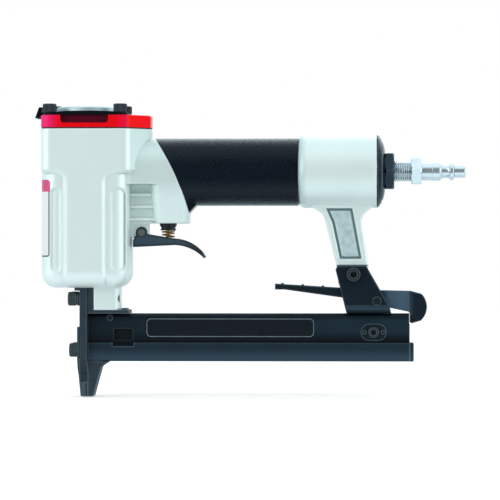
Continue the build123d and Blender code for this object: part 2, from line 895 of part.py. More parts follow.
def drive_piston():
    """Piston with a seal groove and a slot for the blade below."""
    groove = piston_bottom + piston_groove
    depth = piston_radius - 2 * seal_wire
    piston = turned([
        (0, piston_bottom), (piston_radius, piston_bottom), (piston_radius, groove - seal_wire),
        (depth, groove - seal_wire), (depth, groove + seal_wire), (piston_radius, groove + seal_wire),
        (piston_radius, piston_top), (0, piston_top)])
    piston -= block(
        -blade_thickness / 2, blade_thickness / 2, -blade_width / 2, blade_width / 2,
        piston_bottom, piston_bottom + piston_stem)
    pin_z = piston_bottom + piston_stem / 2
    piston -= rod_x(-piston_stem_radius, piston_stem_radius, 0, pin_z, m4_radius)
    return piston


def piston_ring():
    """Seal ring of the piston."""
    z = piston_bottom + piston_groove
    return Pos(0, 0, z) * Torus(piston_radius - seal_wire, seal_wire)


def driver_blade():
    """Flat blade that drives the staple."""
    top = piston_bottom + piston_stem
    blade = block(
        -blade_thickness / 2, blade_thickness / 2, -blade_width / 2, blade_width / 2,
        blade_rest_tip, top)
    pin_z = piston_bottom + piston_stem / 2
    return blade - rod_x(-blade_thickness, blade_thickness, 0, pin_z, m4_radius)


def driver_pin():
    """Cross pin that holds the blade in the piston."""
    pin_z = piston_bottom + piston_stem / 2
    return rod_x(-piston_stem_radius, piston_stem_radius, 0, pin_z, m4_radius)


def head_valve():
    """Valve disc on the liner rim, with a hub inside its spring."""
    outer = head_chamber_radius - slide_gap
    z0 = liner_top
    hub_top = cap_ceiling - head_lift - slide_gap
    groove = z0 + head_valve_height / 2
    depth = outer - 2 * seal_wire
    return turned([
        (0, z0), (outer, z0), (outer, groove - seal_wire), (depth, groove - seal_wire),
        (depth, groove + seal_wire), (outer, groove + seal_wire), (outer, head_valve_top),
        (head_hub_radius, head_valve_top), (head_hub_radius, hub_top), (0, hub_top)])


def head_valve_seal():
    """Seal ring round the head valve."""
    outer = head_chamber_radius - slide_gap
    return Pos(0, 0, liner_top + head_valve_height / 2) * Torus(outer - seal_wire, seal_wire)


def head_valve_spring():
    """Spring that closes the head valve."""
    height = cap_ceiling - head_valve_top
    return Pos(0, 0, head_valve_top) * coil(
        head_spring_radius, head_spring_wire, height, head_spring_turns)


# Trigger and trigger valve

def valve_bushing():
    """Screwed-in guide of the trigger valve, grooved below its flange."""
    z = valve_boss_bottom
    top = z + valve_body_depth
    hole = stem_radius + running_gap
    flange_z = z - valve_flange
    nose_z = flange_z - valve_nose
    groove_z = nose_z + valve_nose / 2
    groove_radius = valve_nose_radius - valve_groove_depth
    bushing = turned([
        (hole, nose_z), (valve_nose_radius, nose_z), (valve_nose_radius, groove_z - valve_groove),
        (groove_radius, groove_z - valve_groove), (groove_radius, groove_z + valve_groove),
        (valve_nose_radius, groove_z + valve_groove), (valve_nose_radius, flange_z),
        (valve_flange_radius, flange_z), (valve_flange_radius, z), (valve_body_radius, z),
        (valve_body_radius, top), (hole, top)])
    return Pos(valve_x, 0, 0) * bushing


def valve_stem():
    """Brass stem with its valve head above the bushing."""
    tip = trigger_floor_top() + stem_gap
    head_z = valve_boss_bottom + valve_body_depth
    top = head_z + stem_head
    stem = turned([
        (0, tip), (stem_radius - stem_point, tip), (stem_radius, tip + stem_point),
        (stem_radius, head_z), (stem_head_radius, head_z), (stem_head_radius, top), (0, top)])
    return Pos(valve_x, 0, 0) * stem


def from_pin(step):
    """Point at a step from the trigger pin."""
    return (trigger_pin_x + step[0], trigger_pin_z + step[1])


def trigger_floor_top():
    """Top of the trigger floor under the valve stem."""
    run = (valve_x - trigger_pin_x - trigger_low_end[0]) / (trigger_low_bend[0] - trigger_low_end[0])
    rise = trigger_low_end[1] + run * (trigger_low_bend[1] - trigger_low_end[1])
    return trigger_pin_z + rise + trigger_floor


def trigger_outline():
    """Side view of the trigger without the eye round its pin."""
    lower = ThreePointArc(
        from_pin(trigger_low_bend), from_pin(trigger_low_curve), from_pin(trigger_low_tip))
    upper = ThreePointArc(
        from_pin(trigger_high_tip), from_pin(trigger_high_curve), from_pin(trigger_high_bend))
    heel = Polyline(
        from_pin(trigger_high_bend), from_pin(trigger_shoulder), from_pin(trigger_heel_top),
        from_pin(trigger_heel), from_pin(trigger_low_end), from_pin(trigger_low_bend))
    tip = Line(from_pin(trigger_low_tip), from_pin(trigger_high_tip))
    return make_face([heel, lower, tip, upper])


def trigger():
    """Folded sheet trigger: two cheeks on a curved floor."""
    half = lug_half_width + slide_gap + trigger_sheet
    solid = side_slab(trigger_outline(), half)
    solid += rod_y(trigger_pin_x, -half, half, trigger_pin_z, trigger_eye)
    solid = chamfer(solid.faces().filter_by(Axis.Y).edges(), trigger_edge)
    hollow_half = half - trigger_sheet
    raised = Pos(0, trigger_floor) * trigger_outline()
    hollow = side_slab(raised, hollow_half)
    hollow += rod_y(trigger_pin_x, -hollow_half, hollow_half, trigger_pin_z, trigger_eye)
    solid -= hollow
    return solid - rod_y(trigger_pin_x, -half, half, trigger_pin_z, trigger_pin_radius + running_gap)


def trigger_pin():
    """Pin through the housing lug, headed outside the trigger cheeks."""
    half = lug_half_width + slide_gap + trigger_sheet + swing_gap
    pin = rod_y(trigger_pin_x, -half, half, trigger_pin_z, trigger_pin_radius)
    pin += rod_y(trigger_pin_x, half, half + trigger_pin_cap, trigger_pin_z, trigger_pin_head)
    pin += rod_y(trigger_pin_x, -half - trigger_pin_cap, -half, trigger_pin_z, trigger_pin_head)
    return pin


def trigger_spring():
    """Return spring between valve bushing and trigger floor."""
    top = valve_boss_bottom - valve_flange - valve_nose
    low = trigger_floor_top() + stem_gap
    spring = coil(trigger_spring_radius, trigger_spring_wire, top - low, trigger_spring_turns)
    return Pos(valve_x, 0, low) * spring


# Grip and air inlet

def grip_sleeve():
    """Rubber sleeve on the handle, cut on a slant at the front."""
    start = body_half + grip_top_x - root_depth
    sleeve = section_bar(handle_section(0), start, grip_rear_x)
    low_x = body_half + grip_low_x
    heel = polygon(
        (start, grip_z), (low_x, grip_low_z - grip_low_drop),
        (low_x + grip_heel_reach, grip_low_z), (low_x + grip_heel_run, grip_z))
    sleeve += side_slab(heel, grip_heel_half_width)
    sleeve -= side_slab(grip_edge_outline(), handle_width)
    sleeve = fillet(sleeve.faces().sort_by(Axis.X)[-1].edges(), grip_edge)
    return sleeve - section_bar(handle_section(grip_wall), body_half, grip_rear_x)


def end_cap():
    """Domed cap that closes the handle, with a seal groove in its spigot."""
    rim = boss_radius - end_cap_inset
    middle_radius = end_cap_flat + (rim - end_cap_flat) * end_cap_bulge
    dome = ThreePointArc(
        (rim, end_cap_flange), (middle_radius, end_cap_height * end_cap_bulge),
        (end_cap_flat, end_cap_height))
    groove = -spigot_length / 2
    depth = spigot_radius - 2 * seal_wire
    rest = Polyline(
        (end_cap_flat, end_cap_height), (bushing_thread, end_cap_height),
        (bushing_thread, -spigot_length), (spigot_radius, -spigot_length),
        (spigot_radius, groove - seal_wire), (depth, groove - seal_wire),
        (depth, groove + seal_wire), (spigot_radius, groove + seal_wire), (spigot_radius, 0),
        (rim, 0), (rim, end_cap_flange))
    cap = revolve(Plane.XZ * make_face([dome, rest]), Axis.Z)
    cap -= Pos(0, 0, end_cap_height * end_cap_bulge) * Torus(middle_radius, end_cap_groove)
    return along_x(cap, boss_end, handle_z)


def end_cap_seal():
    """Seal ring in the end cap groove."""
    ring = Torus(spigot_radius - seal_wire, seal_wire)
    return along_x(ring, boss_end - spigot_length / 2, handle_z)


def inlet_bushing():
    """Hexagon bushing that takes the air plug."""
    hexagon = RegularPolygon(hex_flats / 2, 6, major_radius=False, rotation=30)
    body = plan_slab(hexagon, 0, hex_length)
    corner = hex_flats / 2 / math.cos(math.pi / 6)
    limit = turned([
        (0, 0), (corner - 2 * hex_chamfer, 0), (corner, hex_chamfer),
        (corner, hex_length - hex_chamfer), (corner - 2 * hex_chamfer, hex_length), (0, hex_length)])
    body = body & limit
    body += rod_z(0, 0, -bushing_depth, 0, bushing_thread)
    body -= rod_z(0, 0, -bushing_depth, hex_length, plug_thread)
    return along_x(body, boss_end + end_cap_height, handle_z)


def air_plug():
    """Quick coupling plug, screwed into the bushing."""
    z0 = -plug_thread_depth
    hex_z = plug_thread_show
    body_z = hex_z + plug_hex_length
    neck_z = body_z + plug_body_length
    waist_z = neck_z + plug_neck_taper
    collar_z = waist_z + plug_neck_length
    tip_z = collar_z + plug_collar_length
    end_z = tip_z + plug_tip_length
    plug = turned([
        (0, z0), (plug_thread, z0), (plug_thread, hex_z), (plug_body_radius, hex_z),
        (plug_body_radius, neck_z), (plug_neck_radius, waist_z), (plug_neck_radius, collar_z),
        (plug_collar_radius, collar_z + plug_edge), (plug_collar_radius, tip_z - plug_edge),
        (plug_tip_radius, tip_z), (plug_tip_radius, end_z - plug_edge),
        (plug_tip_radius - plug_edge, end_z), (0, end_z)])
    hexagon = RegularPolygon(plug_hex_flats / 2, 6, major_radius=False, rotation=30)
    nut = plan_slab(hexagon, hex_z, body_z)
    nut = chamfer(nut.faces().sort_by(Axis.Z)[-1].edges(), plug_edge)
    plug = plug + nut - rod_z(0, 0, z0, end_z, plug_bore)
    return along_x(plug, boss_end + end_cap_height + hex_length, handle_z)


# Nose

def nose_front(half_width, tip_half_width):
    """Front view of the nose, wide above and narrow at the tip."""
    high = body_bottom
    return polygon(
        (-tip_half_width, 0), (tip_half_width, 0), (tip_half_width, nose_taper_z),
        (half_width, nose_shoulder_z), (half_width, high), (-half_width, high),
        (-half_width, nose_shoulder_z), (-tip_half_width, nose_taper_z))


def eased(plate, half_width):
    """Nose plate with the upright edges of its two sides taken off."""
    upright = plate.edges().filter_by(Axis.Z)
    return chamfer([e for e in upright if abs(e.center().Y) > half_width - running_gap], nose_edge)


def blade_channel(z0, z1):
    """Space the staple and the blade run down in."""
    half = crown_width / 2 + bolt_gap
    return block(-blade_back, blade_back, -half, half, z0, z1)


def nose_guide():
    """Front guide block with the blade channel in its back and a lip at the top."""
    outline = polygon(
        (guide_front, nose_foot_height), (blade_back, nose_foot_height), (blade_back, body_bottom),
        (guide_front - nose_lip_reach, body_bottom),
        (guide_front - nose_lip_reach, body_bottom - nose_lip_thickness),
        (guide_front, body_bottom - nose_lip_thickness))
    guide = side_slab(outline, nose_half_width)
    front = nose_front(nose_half_width, nose_tip_half_width - nose_guide_inset)
    guide = eased(guide & section_bar(front, guide_front - nose_lip_reach, blade_back), nose_half_width)
    guide -= blade_channel(0, body_bottom)
    for y in (-upper_nose_bolt_y, upper_nose_bolt_y):
        guide -= rod_x(guide_front, blade_back, y, upper_nose_bolt_z, m5_radius + bolt_gap)
    for y in (-lower_nose_bolt_y, lower_nose_bolt_y):
        guide -= rod_x(guide_front, blade_back, y, lower_nose_bolt_z, m5_radius)
    return guide


def nose_cover():
    """Front cover plate with a foot that closes the channel at the tip."""
    outline = polygon(
        (cover_front, nose_cover_top), (guide_front, nose_cover_top),
        (guide_front, nose_foot_height), (blade_back, nose_foot_height), (blade_back, 0),
        (cover_front + nose_cover_tip_set_back, 0), (cover_front, nose_cover_taper_z))
    cover = side_slab(outline, nose_half_width)
    front = nose_front(nose_half_width, nose_tip_half_width)
    cover = eased(cover & section_bar(front, cover_front, blade_back), nose_half_width)
    cover -= blade_channel(0, nose_foot_height)
    for y in (-lower_nose_bolt_y, lower_nose_bolt_y):
        cover -= rod_x(cover_front, guide_front, y, lower_nose_bolt_z, m5_radius + bolt_gap)
    return cover


def nose_bracket():
    """Angle plate that ties nose, housing neck and magazine together."""
    outline = polygon(
        (blade_back, fixed_rail_top), (bracket_flange_reach, fixed_rail_top),
        (bracket_flange_reach, flange_top), (neck_front, flange_top), (neck_front, body_bottom),
        (blade_back, body_bottom))
    bracket = eased(side_slab(outline, bracket_half_width), bracket_half_width)
    for y in (-upper_nose_bolt_y, upper_nose_bolt_y):
        bracket -= rod_x(blade_back, neck_front, y, upper_nose_bolt_z, m5_radius + bolt_gap)
    for y in (-flange_screw_y, flange_screw_y):
        bracket -= rod_z(flange_screw_x, y, fixed_rail_top, flange_top, flange_screw_radius / 2)
    return bracket


def nose_heel():
    """Rear guide of the nose tip, with two cheeks that carry the fixed rail."""
    x = blade_back
    top = slide_rail_bottom - slide_gap
    waist = (x + heel_waist_depth, top - heel_waist_drop)
    outline = polygon(
        (x, 0), (x + heel_tip_depth, 0), waist, (x + heel_top_depth, top), (x, top))
    outline = round_corner(outline, waist, heel_fillet)
    heel = side_slab(outline, nose_tip_half_width)
    for y0, y1 in ((fixed_inner, fixed_outer), (-fixed_outer, -fixed_inner)):
        heel += block(x, x + heel_waist_depth, y0, y1, top - cut_over, fixed_rail_bottom)
    return heel


def upper_nose_bolts():
    """Two bolts through guide and bracket into the housing neck."""
    length = 2 * washer_thickness + nose_guide_thickness + bracket_leg + upper_bolt_grip
    bolt = cap_screw(
        m5_radius, length, m5_head_radius, m5_head_height, m5_socket_flats, m5_socket_depth)
    seat = guide_front - 2 * washer_thickness
    return Compound([
        Pos(seat, y, upper_nose_bolt_z) * Rot(0, -90, 0) * bolt
        for y in (-upper_nose_bolt_y, upper_nose_bolt_y)])


def nose_washers():
    """Spring washer and plain washer under each upper nose bolt."""
    rings = []
    for y in (-upper_nose_bolt_y, upper_nose_bolt_y):
        for step in range(2):
            x1 = guide_front - step * washer_thickness
            x0 = x1 - washer_thickness
            outer = m5_head_radius - washer_lip * step
            ring = rod_x(x0, x1, y, upper_nose_bolt_z, outer)
            rings.append(ring - rod_x(x0, x1, y, upper_nose_bolt_z, m5_radius + bolt_gap))
    return Compound(rings)


def lower_nose_bolts():
    """Two short bolts that hold the cover on the guide."""
    length = nose_cover_thickness + nose_guide_thickness - lower_bolt_short
    bolt = cap_screw(
        m5_radius, length, m5_head_radius, m5_head_height, m5_socket_flats, m5_socket_depth)
    return Compound([
        Pos(cover_front, y, lower_nose_bolt_z) * Rot(0, -90, 0) * bolt
        for y in (-lower_nose_bolt_y, lower_nose_bolt_y)])


def flange_screws():
    """Two low screws that hold the bracket flange on the fixed rail."""
    screws = []
    for y in (-flange_screw_y, flange_screw_y):
        head = rod_z(
            flange_screw_x, y, flange_top, flange_top + flange_screw_height, flange_screw_radius)
        head = fillet(head.edges().sort_by(Axis.Z)[-1], flange_screw_height / 2)
        shank = rod_z(
            flange_screw_x, y, fixed_rail_top - rail_wall, flange_top, flange_screw_radius / 2)
        screws.append(head + shank)
    return Compound(screws)


# Magazine

def fixed_rail():
    """Folded channel, open below, that guides the staples."""
    outer = RectangleRounded(2 * fixed_outer, 2 * fixed_rail_skirt, rail_bend)
    middle = Pos(0, fixed_rail_bottom)
    inner = Rectangle(2 * fixed_inner, 2 * (fixed_rail_skirt - rail_wall))
    below = Pos(0, fixed_rail_bottom - fixed_rail_skirt / 2) * Rectangle(
        4 * fixed_outer, fixed_rail_skirt)
    rail = section_bar(middle * outer - middle * inner - below, blade_back, fixed_rail_end)
    rail -= block(
        window_x, window_x + window_length, -fixed_outer, fixed_outer, window_bottom,
        window_bottom + window_height)
    rail -= rod_y(pad_x, -fixed_outer, fixed_outer, pad_z, m4_radius)
    rail -= rod_y(rivet_x, -fixed_outer, fixed_outer, rivet_z, rivet_radius / 2)
    for y in (-flange_screw_y, flange_screw_y):
        rail -= rod_z(
            flange_screw_x, y, fixed_rail_top - rail_wall, fixed_rail_top, flange_screw_radius / 2)
    return rail


def rail_pads():
    """Obround pad on each side of the fixed rail."""
    outline = Pos(pad_x, pad_z) * SlotOverall(pad_length, pad_height)
    pad = extrude(Plane.XZ.offset(fixed_outer) * outline, amount=pad_thickness)
    pad = fillet(pad.faces().sort_by(Axis.Y)[0].edges(), pad_edge)
    high = -fixed_outer - pad_thickness
    pad -= rod_y(pad_x, high, -fixed_outer, pad_z, m4_radius + bolt_gap)
    for step in (-pad_hole_step, pad_hole_step):
        pad -= rod_y(pad_x + step, high, -fixed_outer, pad_z, pad_hole_radius)
    return both_sides(pad)


def pad_screws():
    """Low socket screw through each pad."""
    screw = cap_screw(
        m4_radius, pad_thickness + rail_wall, m4_head_radius, m4_head_height, m4_socket_flats,
        m4_socket_depth)
    near = Pos(pad_x, -fixed_outer - pad_thickness, pad_z) * Rot(90, 0, 0) * screw
    return both_sides(near)


def rail_rivets():
    """Flat rivet on each side of the fixed rail."""
    rivet = rod_y(rivet_x, -fixed_outer - rivet_height, -fixed_outer, rivet_z, rivet_radius)
    rivet += rod_y(rivet_x, -fixed_outer, -fixed_inner, rivet_z, rivet_radius / 2)
    return both_sides(rivet)


def sliding_rail():
    """Outer channel that slides back along the fixed rail."""
    outer = Pos(0, slide_rail_top) * RectangleRounded(
        2 * slide_outer, 2 * slide_rail_height, rail_bend)
    inner = Pos(0, slide_rail_top) * Rectangle(
        2 * slide_inner, 2 * (slide_rail_height - slide_wall))
    above = Pos(0, slide_rail_top + slide_rail_height / 2) * Rectangle(
        4 * slide_outer, slide_rail_height)
    section = outer - inner - above
    for y in (-slide_outer, slide_outer):
        section = round_corner(section, (y, slide_rail_top), rail_edge)
    rail = section_bar(section, blade_back + slide_gap, slide_rail_end)
    floor_start = blade_back + heel_waist_depth + 2 * slide_gap
    rail -= block(
        blade_back, floor_start, -slide_inner, slide_inner, slide_rail_bottom, slide_floor_top)
    rail -= block(
        window_x - notch_margin, window_x + window_length + notch_margin, -slide_outer, slide_outer,
        slide_rail_top - notch_depth, slide_rail_top)
    return rail


def staple_core():
    """Inner channel that the staples straddle, slotted on top for the pusher."""
    z0 = slide_floor_top
    outer = Pos(0, (z0 + core_top) / 2) * Rectangle(2 * core_half_width, core_top - z0)
    inner_half = core_half_width - core_wall
    inner = Pos(0, (z0 + core_top - core_wall) / 2) * Rectangle(
        2 * inner_half, core_top - core_wall - z0)
    rear = slide_rail_end - tongue_thickness
    core = section_bar(outer - inner, core_front, rear)
    core += block(core_front, core_front + core_front_wall, -inner_half, inner_half, z0, core_top)
    core -= block(
        core_front + core_front_wall, rear - core_front_wall, -inner_half / 2, inner_half / 2,
        core_top - core_wall, core_top)
    return core - rod_x(core_front, core_front + core_front_wall, 0, guide_rod_z, rod_radius)


def guide_rod():
    """Rod that carries the pusher spring."""
    return rod_x(core_front, slide_rail_end, 0, guide_rod_z, rod_radius)


def pusher():
    """Sheet saddle that pushes the staples, with a guide block on the rod."""
    x0 = core_front
    x1 = x0 + pusher_length
    inner_half = core_half_width + slide_gap
    outer_half = inner_half + pusher_sheet
    low = slide_floor_top + pusher_skirt_gap
    saddle = block(x0, x1, -outer_half, outer_half, low, pusher_top)
    saddle -= block(x0, x1, -inner_half, inner_half, low, core_top + slide_gap)
    guide_half = core_half_width - core_wall - slide_gap
    front = x0 + core_front_wall + slide_gap
    guide_low = guide_rod_z - pusher_guide
    guide_high = guide_rod_z + pusher_guide
    guide = block(front, x1, -guide_half, guide_half, guide_low, guide_high)
    guide -= rod_x(front, x1, 0, guide_rod_z, rod_radius + running_gap)
    neck_half = (core_half_width - core_wall) / 2 - slide_gap
    neck = block(front, x1, -neck_half, neck_half, guide_high, core_top + slide_gap)
    return saddle + guide + neck


def pusher_spring():
    """Spring that feeds the pusher forward."""
    x0 = core_front + pusher_length
    length = slide_rail_end - tongue_thickness - x0
    spring = coil(pusher_spring_radius, pusher_spring_wire, length, pusher_spring_turns)
    return Pos(x0, 0, guide_rod_z) * Rot(0, 90, 0) * spring


def slide_end_cap():
    """End plate of the sliding rail, with a tongue inside the fixed rail."""
    outline = Pos(0, slide_rail_bottom + slide_rail_height / 2) * RectangleRounded(
        2 * slide_outer, slide_rail_height, rail_bend)
    plate = section_bar(outline, slide_rail_end, slide_rail_end + end_plate)
    plate = fillet(plate.faces().sort_by(Axis.X)[-1].edges(), rail_edge)
    tongue_half = fixed_inner - slide_gap
    tongue = block(
        slide_rail_end - tongue_thickness, slide_rail_end, -tongue_half, tongue_half,
        slide_floor_top, pusher_top)
    return plate + tongue - rod_x(
        slide_rail_end - tongue_thickness, slide_rail_end, 0, guide_rod_z, rod_radius)


# Rear bracket and latch

def rear_bracket():
    """Folded bracket between strut and magazine, open above."""
    x = bracket_bolt_x
    top = bracket_bolt_z + bracket_head
    depth = top - fixed_rail_top
    outer = Pos(0, top) * RectangleRounded(2 * cheek_outer, 2 * depth, bracket_bend)
    inner = Pos(0, top) * Rectangle(2 * strut_half_width, 2 * (depth - bracket_sheet))
    above = Pos(0, top + depth) * Rectangle(4 * cheek_outer, 2 * depth)
    channel = section_bar(
        outer - inner - above, x + bracket_front_high, latch_x + bracket_rear_foot)
    outline = polygon(
        (x + bracket_front_low, fixed_rail_top), (latch_x + bracket_rear_foot, fixed_rail_top),
        (latch_x + bracket_rear_low, fixed_rail_top + bracket_foot_rise),
        (x + bracket_rear_high, top - bracket_top_corner), (x + bracket_rear_top, top),
        (x + bracket_front_top, top), (x + bracket_front_high, top - bracket_top_corner))
    limit = side_slab(outline, cheek_outer)
    bracket = channel & chamfer(limit.faces().filter_by(Axis.Y).edges(), bracket_edge)
    bracket -= rod_y(x, -cheek_outer, cheek_outer, bracket_bolt_z, m5_radius + bolt_gap)
    return bracket - rod_y(latch_x, -cheek_outer, cheek_outer, latch_z, latch_pin_radius)


def bracket_bolt():
    """Bolt through bracket and strut."""
    length = 2 * cheek_outer + nut_height + nut_thread_show
    bolt = cap_screw(
        m5_radius, length, m5_head_radius, m5_head_height, m5_socket_flats, m5_socket_depth)
    return Pos(bracket_bolt_x, -cheek_outer, bracket_bolt_z) * Rot(90, 0, 0) * bolt


def bracket_nut():
    """Nut on the far side of the bracket."""
    nut = RegularPolygon(nut_flats / 2, 6, major_radius=False) - Circle(m5_radius)
    plane = Plane(origin=(bracket_bolt_x, cheek_outer, bracket_bolt_z), z_dir=(0, 1, 0))
    return extrude(plane * nut, amount=nut_height)


def from_latch(step):
    """Point at a step from the latch pivot."""
    return (latch_x + step[0], latch_z + step[1])


def latch_outline():
    """Side view of the latch lever: thumb arm, hub and hook."""
    arm_low = (latch_tip_x, latch_z + latch_arm_low)
    arm_high = (latch_tip_x, latch_z + latch_arm_high)
    toe_x = fixed_rail_end + slide_gap
    throat_z = fixed_rail_top + slide_gap
    crest = Polyline(
        arm_low, arm_high, from_latch(latch_crest), from_latch(latch_crest_rear),
        from_latch(latch_shoulder))
    back = ThreePointArc(
        from_latch(latch_shoulder), from_latch(latch_back), from_latch(latch_back_low))
    hook = Polyline(
        from_latch(latch_back_low), (toe_x + latch_toe_width, latch_toe_z),
        (toe_x, latch_toe_z + latch_toe_edge), (toe_x, throat_z),
        (toe_x - latch_hook_clear, throat_z + latch_hook_clear), from_latch(latch_belly))
    under = Polyline(
        from_latch(latch_belly), from_latch((latch_seat_rear, -latch_seat_drop)),
        from_latch((latch_seat_front, -latch_seat_drop)), from_latch(latch_arm_root),
        (latch_tip_x + latch_arm_low_run, latch_z + latch_arm_low), arm_low)
    return make_face([crest, back, hook, under])


def latch_lever():
    """Latch lever with a hub that fills the bracket and ridges on its thumb arm."""
    lever = side_slab(latch_outline(), latch_half_width)
    seat = latch_z - latch_seat_drop - running_gap
    rims = lever.faces().filter_by(Axis.Y).edges()
    lever = fillet([edge for edge in rims if edge.center().Z > seat], latch_edge)
    hook_end = latch_x + latch_back[0]
    high = latch_z + latch_arm_high
    hook_space = block(
        fixed_rail_end, hook_end, -latch_half_width, latch_half_width, latch_toe_z, high)
    hook_space -= block(
        fixed_rail_end, hook_end, -latch_hook_half_width, latch_hook_half_width, latch_toe_z, high)
    lever -= hook_space
    hub_half = strut_half_width - swing_gap
    lever += rod_y(latch_x, -hub_half, hub_half, latch_z, latch_hub_radius)
    slope = (latch_crest[1] - latch_arm_high) / (latch_x + latch_crest[0] - latch_tip_x)
    ridge_half = latch_half_width - latch_edge
    for step in range(latch_ridge_count):
        run = latch_ridge_start + latch_ridge_step * step
        ridge_z = latch_z + latch_arm_high + slope * run
        lever += rod_y(latch_tip_x + run, -ridge_half, ridge_half, ridge_z, latch_ridge)
    return lever - rod_y(latch_x, -hub_half, hub_half, latch_z, latch_pin_radius + running_gap)


def latch_pin():
    """Riveted pin across the bracket."""
    pin = rod_y(latch_x, -cheek_outer, cheek_outer, latch_z, latch_pin_radius)
    pin += rod_y(latch_x, cheek_outer, cheek_outer + latch_pin_cap, latch_z, latch_pin_head)
    pin += rod_y(latch_x, -cheek_outer - latch_pin_cap, -cheek_outer, latch_z, latch_pin_head)
    return pin


def latch_spring():
    """Spring under the thumb arm of the latch."""
    height = latch_z - latch_seat_drop - bracket_web_top
    spring = coil(latch_spring_radius, latch_spring_wire, height, latch_spring_turns)
    return Pos(latch_x - latch_spring_step, 0, bracket_web_top) * spring


nodes = [
    housing, cylinder_cap, cap_gasket, deflector_base, deflector_dome, cap_bolts, cylinder_liner,
    piston_bumper, drive_piston, piston_ring, driver_blade, driver_pin, head_valve,
    head_valve_seal, head_valve_spring, valve_bushing, valve_stem, trigger, trigger_pin,
    trigger_spring, grip_sleeve, end_cap, end_cap_seal, inlet_bushing, air_plug, nose_guide,
    nose_cover, nose_bracket, nose_heel, upper_nose_bolts, nose_washers, lower_nose_bolts,
    flange_screws, fixed_rail, rail_pads, pad_screws, rail_rivets, sliding_rail, staple_core,
    guide_rod, pusher, pusher_spring, slide_end_cap, rear_bracket, bracket_bolt, bracket_nut,
    latch_lever, latch_pin, latch_spring]

for make_node in nodes:
    export_step(make_node(), f"parts/{make_node.__name__}.step")
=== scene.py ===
import math
import bmesh
import bpy
from mathutils import Matrix, Vector


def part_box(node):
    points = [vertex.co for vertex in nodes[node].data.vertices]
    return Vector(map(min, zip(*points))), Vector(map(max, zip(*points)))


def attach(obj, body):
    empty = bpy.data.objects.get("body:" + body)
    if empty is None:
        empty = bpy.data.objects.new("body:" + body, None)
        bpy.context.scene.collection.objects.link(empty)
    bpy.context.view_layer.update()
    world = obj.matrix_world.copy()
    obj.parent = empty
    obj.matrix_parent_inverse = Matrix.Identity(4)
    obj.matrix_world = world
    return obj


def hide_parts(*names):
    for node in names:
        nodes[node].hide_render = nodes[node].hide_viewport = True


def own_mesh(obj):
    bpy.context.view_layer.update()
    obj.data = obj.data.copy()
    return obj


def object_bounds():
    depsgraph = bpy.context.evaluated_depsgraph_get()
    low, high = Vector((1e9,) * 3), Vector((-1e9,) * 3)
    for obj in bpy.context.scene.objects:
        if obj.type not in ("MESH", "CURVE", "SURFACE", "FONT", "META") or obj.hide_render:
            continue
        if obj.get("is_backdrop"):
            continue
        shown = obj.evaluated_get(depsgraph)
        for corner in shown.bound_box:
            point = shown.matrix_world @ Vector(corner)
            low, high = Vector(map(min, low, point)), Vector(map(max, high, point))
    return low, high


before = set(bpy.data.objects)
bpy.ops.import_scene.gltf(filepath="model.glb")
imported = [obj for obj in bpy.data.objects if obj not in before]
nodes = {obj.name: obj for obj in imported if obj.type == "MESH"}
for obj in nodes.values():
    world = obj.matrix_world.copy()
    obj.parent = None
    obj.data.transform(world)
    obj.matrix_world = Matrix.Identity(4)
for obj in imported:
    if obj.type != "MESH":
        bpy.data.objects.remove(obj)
cad_low, cad_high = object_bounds()
scene = bpy.context.scene

MM = 0.001

# Height of the axis that handle, end cap and air plug share, in millimetres
handle_height = 138.5


# Small tools of this script

def rgb(code):
    """Linear colour of an sRGB hex value."""
    shares = [int(code[i:i + 2], 16) / 255 for i in (1, 3, 5)]
    linear = [s / 12.92 if s <= 0.04045 else ((s + 0.055) / 1.055) ** 2.4 for s in shares]
    return (*linear, 1.0)


def add(tree, kind, feeds=None, **settings):
    """Node of a tree with its settings, and a value or a link for each named input."""
    made = tree.nodes.new(kind)
    for name, value in settings.items():
        setattr(made, name, value)
    for socket, source in (feeds or {}).items():
        if isinstance(source, bpy.types.NodeSocket):
            tree.links.new(source, made.inputs[socket])
        else:
            made.inputs[socket].default_value = source
    return made


def worked(tree, operation, *terms):
    """Socket with the result of arithmetic on values or sockets."""
    return add(tree, "ShaderNodeMath", dict(enumerate(terms)), operation=operation).outputs[0]


def vector(tree, operation, *terms):
    """Socket with the result of arithmetic on vectors."""
    made = add(tree, "ShaderNodeVectorMath", dict(enumerate(terms)), operation=operation)
    return made.outputs["Value" if operation in ("LENGTH", "DOT_PRODUCT") else "Vector"]


def parts_of(tree, source):
    """Sockets with the three parts of a vector."""
    return add(tree, "ShaderNodeSeparateXYZ", {0: source}).outputs


def place_on(tree):
    """Socket with the place of a point on the tool, in metres."""
    return add(tree, "ShaderNodeTexCoord").outputs["Object"]


def shown(name, mesh, body, replaces=()):
    """Piece of the tool on a body, with the nodes it stands for hidden."""
    piece = bpy.data.objects.new(name, mesh)
    scene.collection.objects.link(piece)
    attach(piece, body)
    if replaces:
        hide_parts(*replaces)
    return piece


def middle(node):
    """Middle of a node's box."""
    low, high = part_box(node)
    return (low + high) / 2


# Finishes

